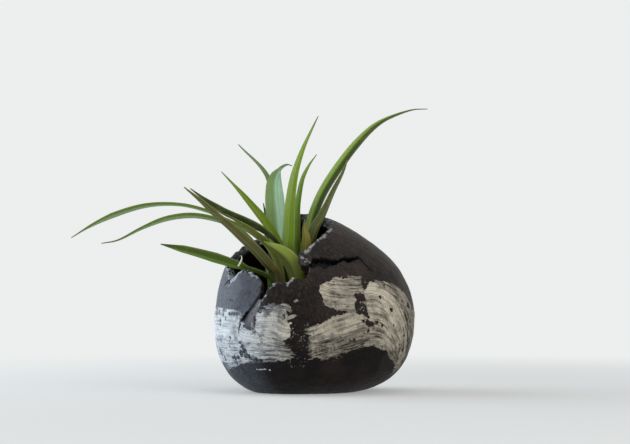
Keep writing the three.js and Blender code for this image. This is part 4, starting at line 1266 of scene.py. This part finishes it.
def strap_leaf(name, ring, foot, heading, width, widest, roll, spine, upper, under, tip):
    """One leaf: a thin channel swept along its spine, with an upper and a lower skin."""
    radius = STEM_RADIUS + FIRST_RING + ring * RING_STEP
    root = STEM_AXIS + radius * direction(foot, 0) + [0, 0, LEAF_FOOT_Z]
    stations = [root, root + [0, 0, FOOT_HEIGHT]]
    for reach, rising in spine:
        place = root + reach * direction(heading, 0)
        place[2] = edge_height(heading) + rising
        stations.append(place)
    middle = smooth_curve(np.array(stations), LEAF_STEPS)
    along = np.linspace(0, 1, LEAF_STEPS + 1)
    forward = unit(np.gradient(middle, axis=0))
    turned = smoothstep(along, 0, TURN_BY)
    bearing = heading + (0 if ring == 0 else foot - heading) * (1 - turned)
    across = direction(bearing + 90, 0 * bearing)
    across = unit(across - forward * np.sum(across * forward, axis=1)[:, None])
    above = np.cross(forward, across)
    rolled = roll * turned
    if name in TWISTS:
        rolled = np.interp(along, *np.transpose(TWISTS[name]))
    rolled = np.radians(rolled)[:, None]
    across = across * np.cos(rolled) + above * np.sin(rolled)
    above = np.cross(forward, across)

    half = leaf_width(width, widest, along)
    if name in GIRTHS:
        half = np.interp(along, *np.transpose(GIRTHS[name]))
    half = half[:, None] / 2
    aside = np.linspace(-1, 1, 2 * LEAF_HALF + 1)
    lift = FOLDS.get(name, CHANNEL_SLOPE) * half * (np.sqrt(aside ** 2 + 0.03) - 0.17)
    thick = MARGIN_THICKNESS + (LEAF_THICKNESS - MARGIN_THICKNESS) * (1 - aside ** 2)
    thick = thick * (0.45 + 0.55 * np.clip(half / 2, 0, 1))
    thick[:, 0] *= 0.4
    thick[:, -1] *= 0.4
    top = middle[:, None] + across[:, None] * (half * aside)[..., None] + above[:, None] * lift[..., None]
    low = top - above[:, None] * thick[..., None]
    loop = np.concatenate([low, top[:, ::-1]], axis=1)
    around = loop.shape[1]
    faces = tube_faces(loop.shape[0], around)

    side = np.concatenate([aside, aside[::-1]])
    below = np.concatenate([np.ones(aside.size), np.zeros(aside.size)])
    share = np.repeat(along[:, None], around, axis=1)
    colour = toward(np.array(upper), under, below[None, :, None])
    colour = np.repeat(colour, loop.shape[0], axis=0)
    if name in SECOND_HALVES:
        sign, inner, outer, since, second = SECOND_HALVES[name]
        band = smoothstep(sign * side, inner - 0.1, inner + 0.1)
        band = band * (1 - smoothstep(sign * side, outer - 0.1, outer + 0.1))
        second_share = band * smoothstep(share, since - 0.2, since)
        colour = toward(colour, second, second_share[..., None])
    # Pale margins: the leaves' own pale edges, with a painted highlight along them
    margin = 0.35 * smoothstep(np.abs(side), 0.8, 1)[None, :, None]
    colour = toward(colour, STRAW, margin)
    dry = smoothstep(share, DRY_START, 1)[..., None]
    colour = toward(colour, tip, dry)
    shaded = (1 - smoothstep(share, 0.04, SHADE_END))[..., None] * 0.6
    colour = toward(colour, DARK, shaded)
    layers = {
        "leaf_tint": colour.reshape(-1, 4),
        "leaf_side": (half * side).ravel(),
        "leaf_run": (share * np.linalg.norm(np.diff(middle, axis=0), axis=1).sum()).ravel(),
    }
    piece = add_piece(name + "_blade", loop.reshape(-1, 3), faces, layers, crease=60)
    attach(piece, "plant")
    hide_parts(name)
    return piece


def leaf_skin(name, gloss):
    """Satin leaf: fine lengthwise veins, faint blotches and a waxy gloss."""
    material = open_material(name)
    place = surface()
    tint = Flow.node("Attribute", {"attribute_name": "leaf_tint"}, None, "Color")
    side = layer("leaf_side")
    run = layer("leaf_run")
    vein_place = Flow.node("CombineXYZ", None, {0: side * 1.5, 1: run * 0.025, 2: 0.0})
    veins = clouds(vein_place)
    blotch = speckle(place, 9, 3)
    midrib = 1 - rise(side.math("ABSOLUTE", side, 0.0), 0.1, 0.55)
    darker = Flow.node("Mix", {"data_type": "RGBA", "blend_type": "MULTIPLY"}, {
        0: rise(veins, 0.4, 0.65) * 0.4, 6: tint, 7: VEIN_TINT}, 2)
    colour = blend(0.25 * rise(blotch, 0.5, 0.75), darker, BLOTCH)
    colour = blend(0.16 * midrib, colour, MIDRIB)
    height = (veins - 0.5) * 0.03 - midrib * 0.05 + (blotch - 0.5) * 0.15
    close_material(colour, gloss + 0.15 * veins, height, 0.2, Subsurface_Weight=0.12,
                   Subsurface_Radius=(0.0016, 0.0022, 0.0006))
    return material


LEAF_SLOTS = {"leaf_olive": "leaf_olive", "leaf_withered": "leaf_withered"}
leaf_finishes = {
    "leaf": leaf_skin("green_leaf", 0.42),
    "leaf_olive": leaf_skin("olive_leaf", 0.42),
    "leaf_withered": leaf_skin("withered_leaf", 0.55),
}
for name, leaf in LEAVES.items():
    blade = strap_leaf(name, *leaf)
    finish = LEAF_SLOTS.get(name, "leaf")
    blade.data.materials.append(leaf_finishes[finish])

# The dry white curl that stands up where the leaf over the flap is kinked, as reach, rise and how
# far it stands before the leaf's middle
CURL = [(18.7, 6.8, 1.6), (18.1, 8.2, 2.6), (17.4, 9.6, 3), (17.1, 11.2, 3), (17.6, 12.6, 2.9)]
CURL_WHITE = shade(250, 246, 226)
CURL_STEPS = 18
CURL_SIDES = 8

kinked = LEAVES["leaf_over_flap"]
curl_root = STEM_AXIS + (STEM_RADIUS + FIRST_RING + kinked[0] * RING_STEP) * direction(kinked[1], 0)
curl_root = curl_root + [0, 0, edge_height(kinked[2])]
curl_ways = np.stack([direction(kinked[2], 0), [0, 0, 1], direction(kinked[2] + 90, 0)])
curl_spine = smooth_curve(curl_root + np.array(CURL) @ curl_ways, CURL_STEPS)
curl_girth = np.interp(np.linspace(0, 1, CURL_STEPS + 1), [0, 0.3, 0.6, 1], [1.25, 1.05, 0.65, 0.15])
curl_forward = unit(np.gradient(curl_spine, axis=0))
curl_aside = np.repeat(direction(kinked[2] + 90, 0)[None], CURL_STEPS + 1, axis=0)
curl_above = np.cross(curl_forward, curl_aside)
curl_turn = np.linspace(0, 2 * math.pi, CURL_SIDES, endpoint=False)[None, :, None]
curl_ring = curl_aside[:, None] * np.cos(curl_turn) + curl_above[:, None] * np.sin(curl_turn) * 0.6
curl_points = (curl_spine[:, None] + curl_ring * curl_girth[:, None, None]).reshape(-1, 3)
curl_faces = tube_faces(CURL_STEPS + 1, CURL_SIDES)
curl_tint = np.repeat(np.array(CURL_WHITE)[None], len(curl_points), axis=0)
curl_layers = {
    "leaf_tint": curl_tint,
    "leaf_side": np.tile(np.linspace(1, 3, CURL_SIDES), CURL_STEPS + 1),
    "leaf_run": np.repeat(np.arange(CURL_STEPS + 1.0), CURL_SIDES),
}
curl = add_piece("leaf_over_flap_curl", curl_points, curl_faces, curl_layers)
curl.data.materials.append(leaf_finishes["leaf"])
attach(curl, "plant")
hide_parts("leaf_over_flap")


# Studio: a plain pale floor that fades into a pale surround, a broad cool light from the left, a
# softer warm one from the right and a weak one overhead.
PALE = (0.84, 0.86, 0.85, 1.0)
FLOOR_PALE = (0.8, 0.8, 0.79, 1.0)
FLOOR_GREY = (0.74, 0.74, 0.73, 1.0)
AMBIENT = (0.92, 0.96, 1.0, 1.0)
AMBIENT_STRENGTH = 0.26
LIGHT_AIM = Vector((-0.01, 0, 0.06))
FLOOR_SIZE = 12.0
CAMERA_PLACE = (0.00025, -0.725, 0.0425)
CAMERA_PITCH = 94
LENS = 75
SENSOR = 36


def seen_directly():
    """1 for a ray that shows a surface to the camera, straight or by a mirror or a glass, else 0."""
    seen = Flow.node("LightPath", None, None, "Is Camera Ray")
    seen = seen.most(Flow.node("LightPath", None, None, "Is Glossy Ray"))
    return seen.most(Flow.node("LightPath", None, None, "Is Transmission Ray"))


reach = FLOOR_SIZE / 2 / MM
floor_corners = np.array([(-reach, -reach, 0), (reach, -reach, 0), (reach, reach, 0), (-reach, reach, 0)])
studio_floor = add_piece("studio_floor", floor_corners, [[0, 1, 2, 3]])
floor_material = open_material("pale_floor")
floor_place = surface()
floor_gap = Flow.node("VectorMath", {"operation": "LENGTH"}, {0: floor_place}, "Value")
floor_grain = speckle(floor_place, 30, 3)
floor_colour = blend(0.2 * floor_grain, FLOOR_PALE, FLOOR_GREY)
floor_shader = Flow.node("BsdfDiffuse", None, {"Color": floor_colour})
floor_glow = Flow.node("Emission", None, {"Color": PALE, "Strength": 1.0})
floor_share = seen_directly() * (0.35 + 0.65 * rise(floor_gap, 0.12, 0.7))
show(Flow.node("MixShader", None, {0: floor_share, 1: floor_shader, 2: floor_glow}))
studio_floor.data.materials.append(floor_material)

bpy.context.scene.world = open_nodes(bpy.data.worlds.new("pale_surround"))
surround = Flow.node("Background", None, {"Color": PALE, "Strength": 1.0})
ambient = Flow.node("Background", None, {"Color": AMBIENT, "Strength": AMBIENT_STRENGTH})
show(Flow.node("MixShader", None, {0: seen_directly(), 1: ambient, 2: surround}), "World")


def soft_light(name, place, width, power, colour):
    """A broad square light that faces the pot."""
    lamp = bpy.data.lights.new(name, "AREA")
    lamp.size = width
    lamp.energy = power
    lamp.color = colour
    light = bpy.data.objects.new(name, lamp)
    light.location = place
    aim = LIGHT_AIM - Vector(place)
    light.rotation_euler = aim.to_track_quat("-Z", "Y").to_euler()
    bpy.context.scene.collection.objects.link(light)


soft_light("cool_left_light", (-1.0, 0.25, 0.5), 1.1, 14, (0.82, 0.91, 1.0))
soft_light("warm_right_light", (0.8, -0.9, 0.7), 0.9, 5.5, (1.0, 0.95, 0.88))
soft_light("overhead_light", (0.1, -0.1, 1.2), 0.9, 2.5, (1.0, 1.0, 1.0))

lens = bpy.data.cameras.new("studio_camera")
lens.lens = LENS
lens.sensor_width = SENSOR
lens.clip_start = 0.01
camera = bpy.data.objects.new("studio_camera", lens)
camera.location = CAMERA_PLACE
camera.rotation_euler = (math.radians(CAMERA_PITCH), 0, 0)
bpy.context.scene.collection.objects.link(camera)
bpy.context.scene.camera = camera
bpy.context.scene.view_settings.view_transform = "Standard"
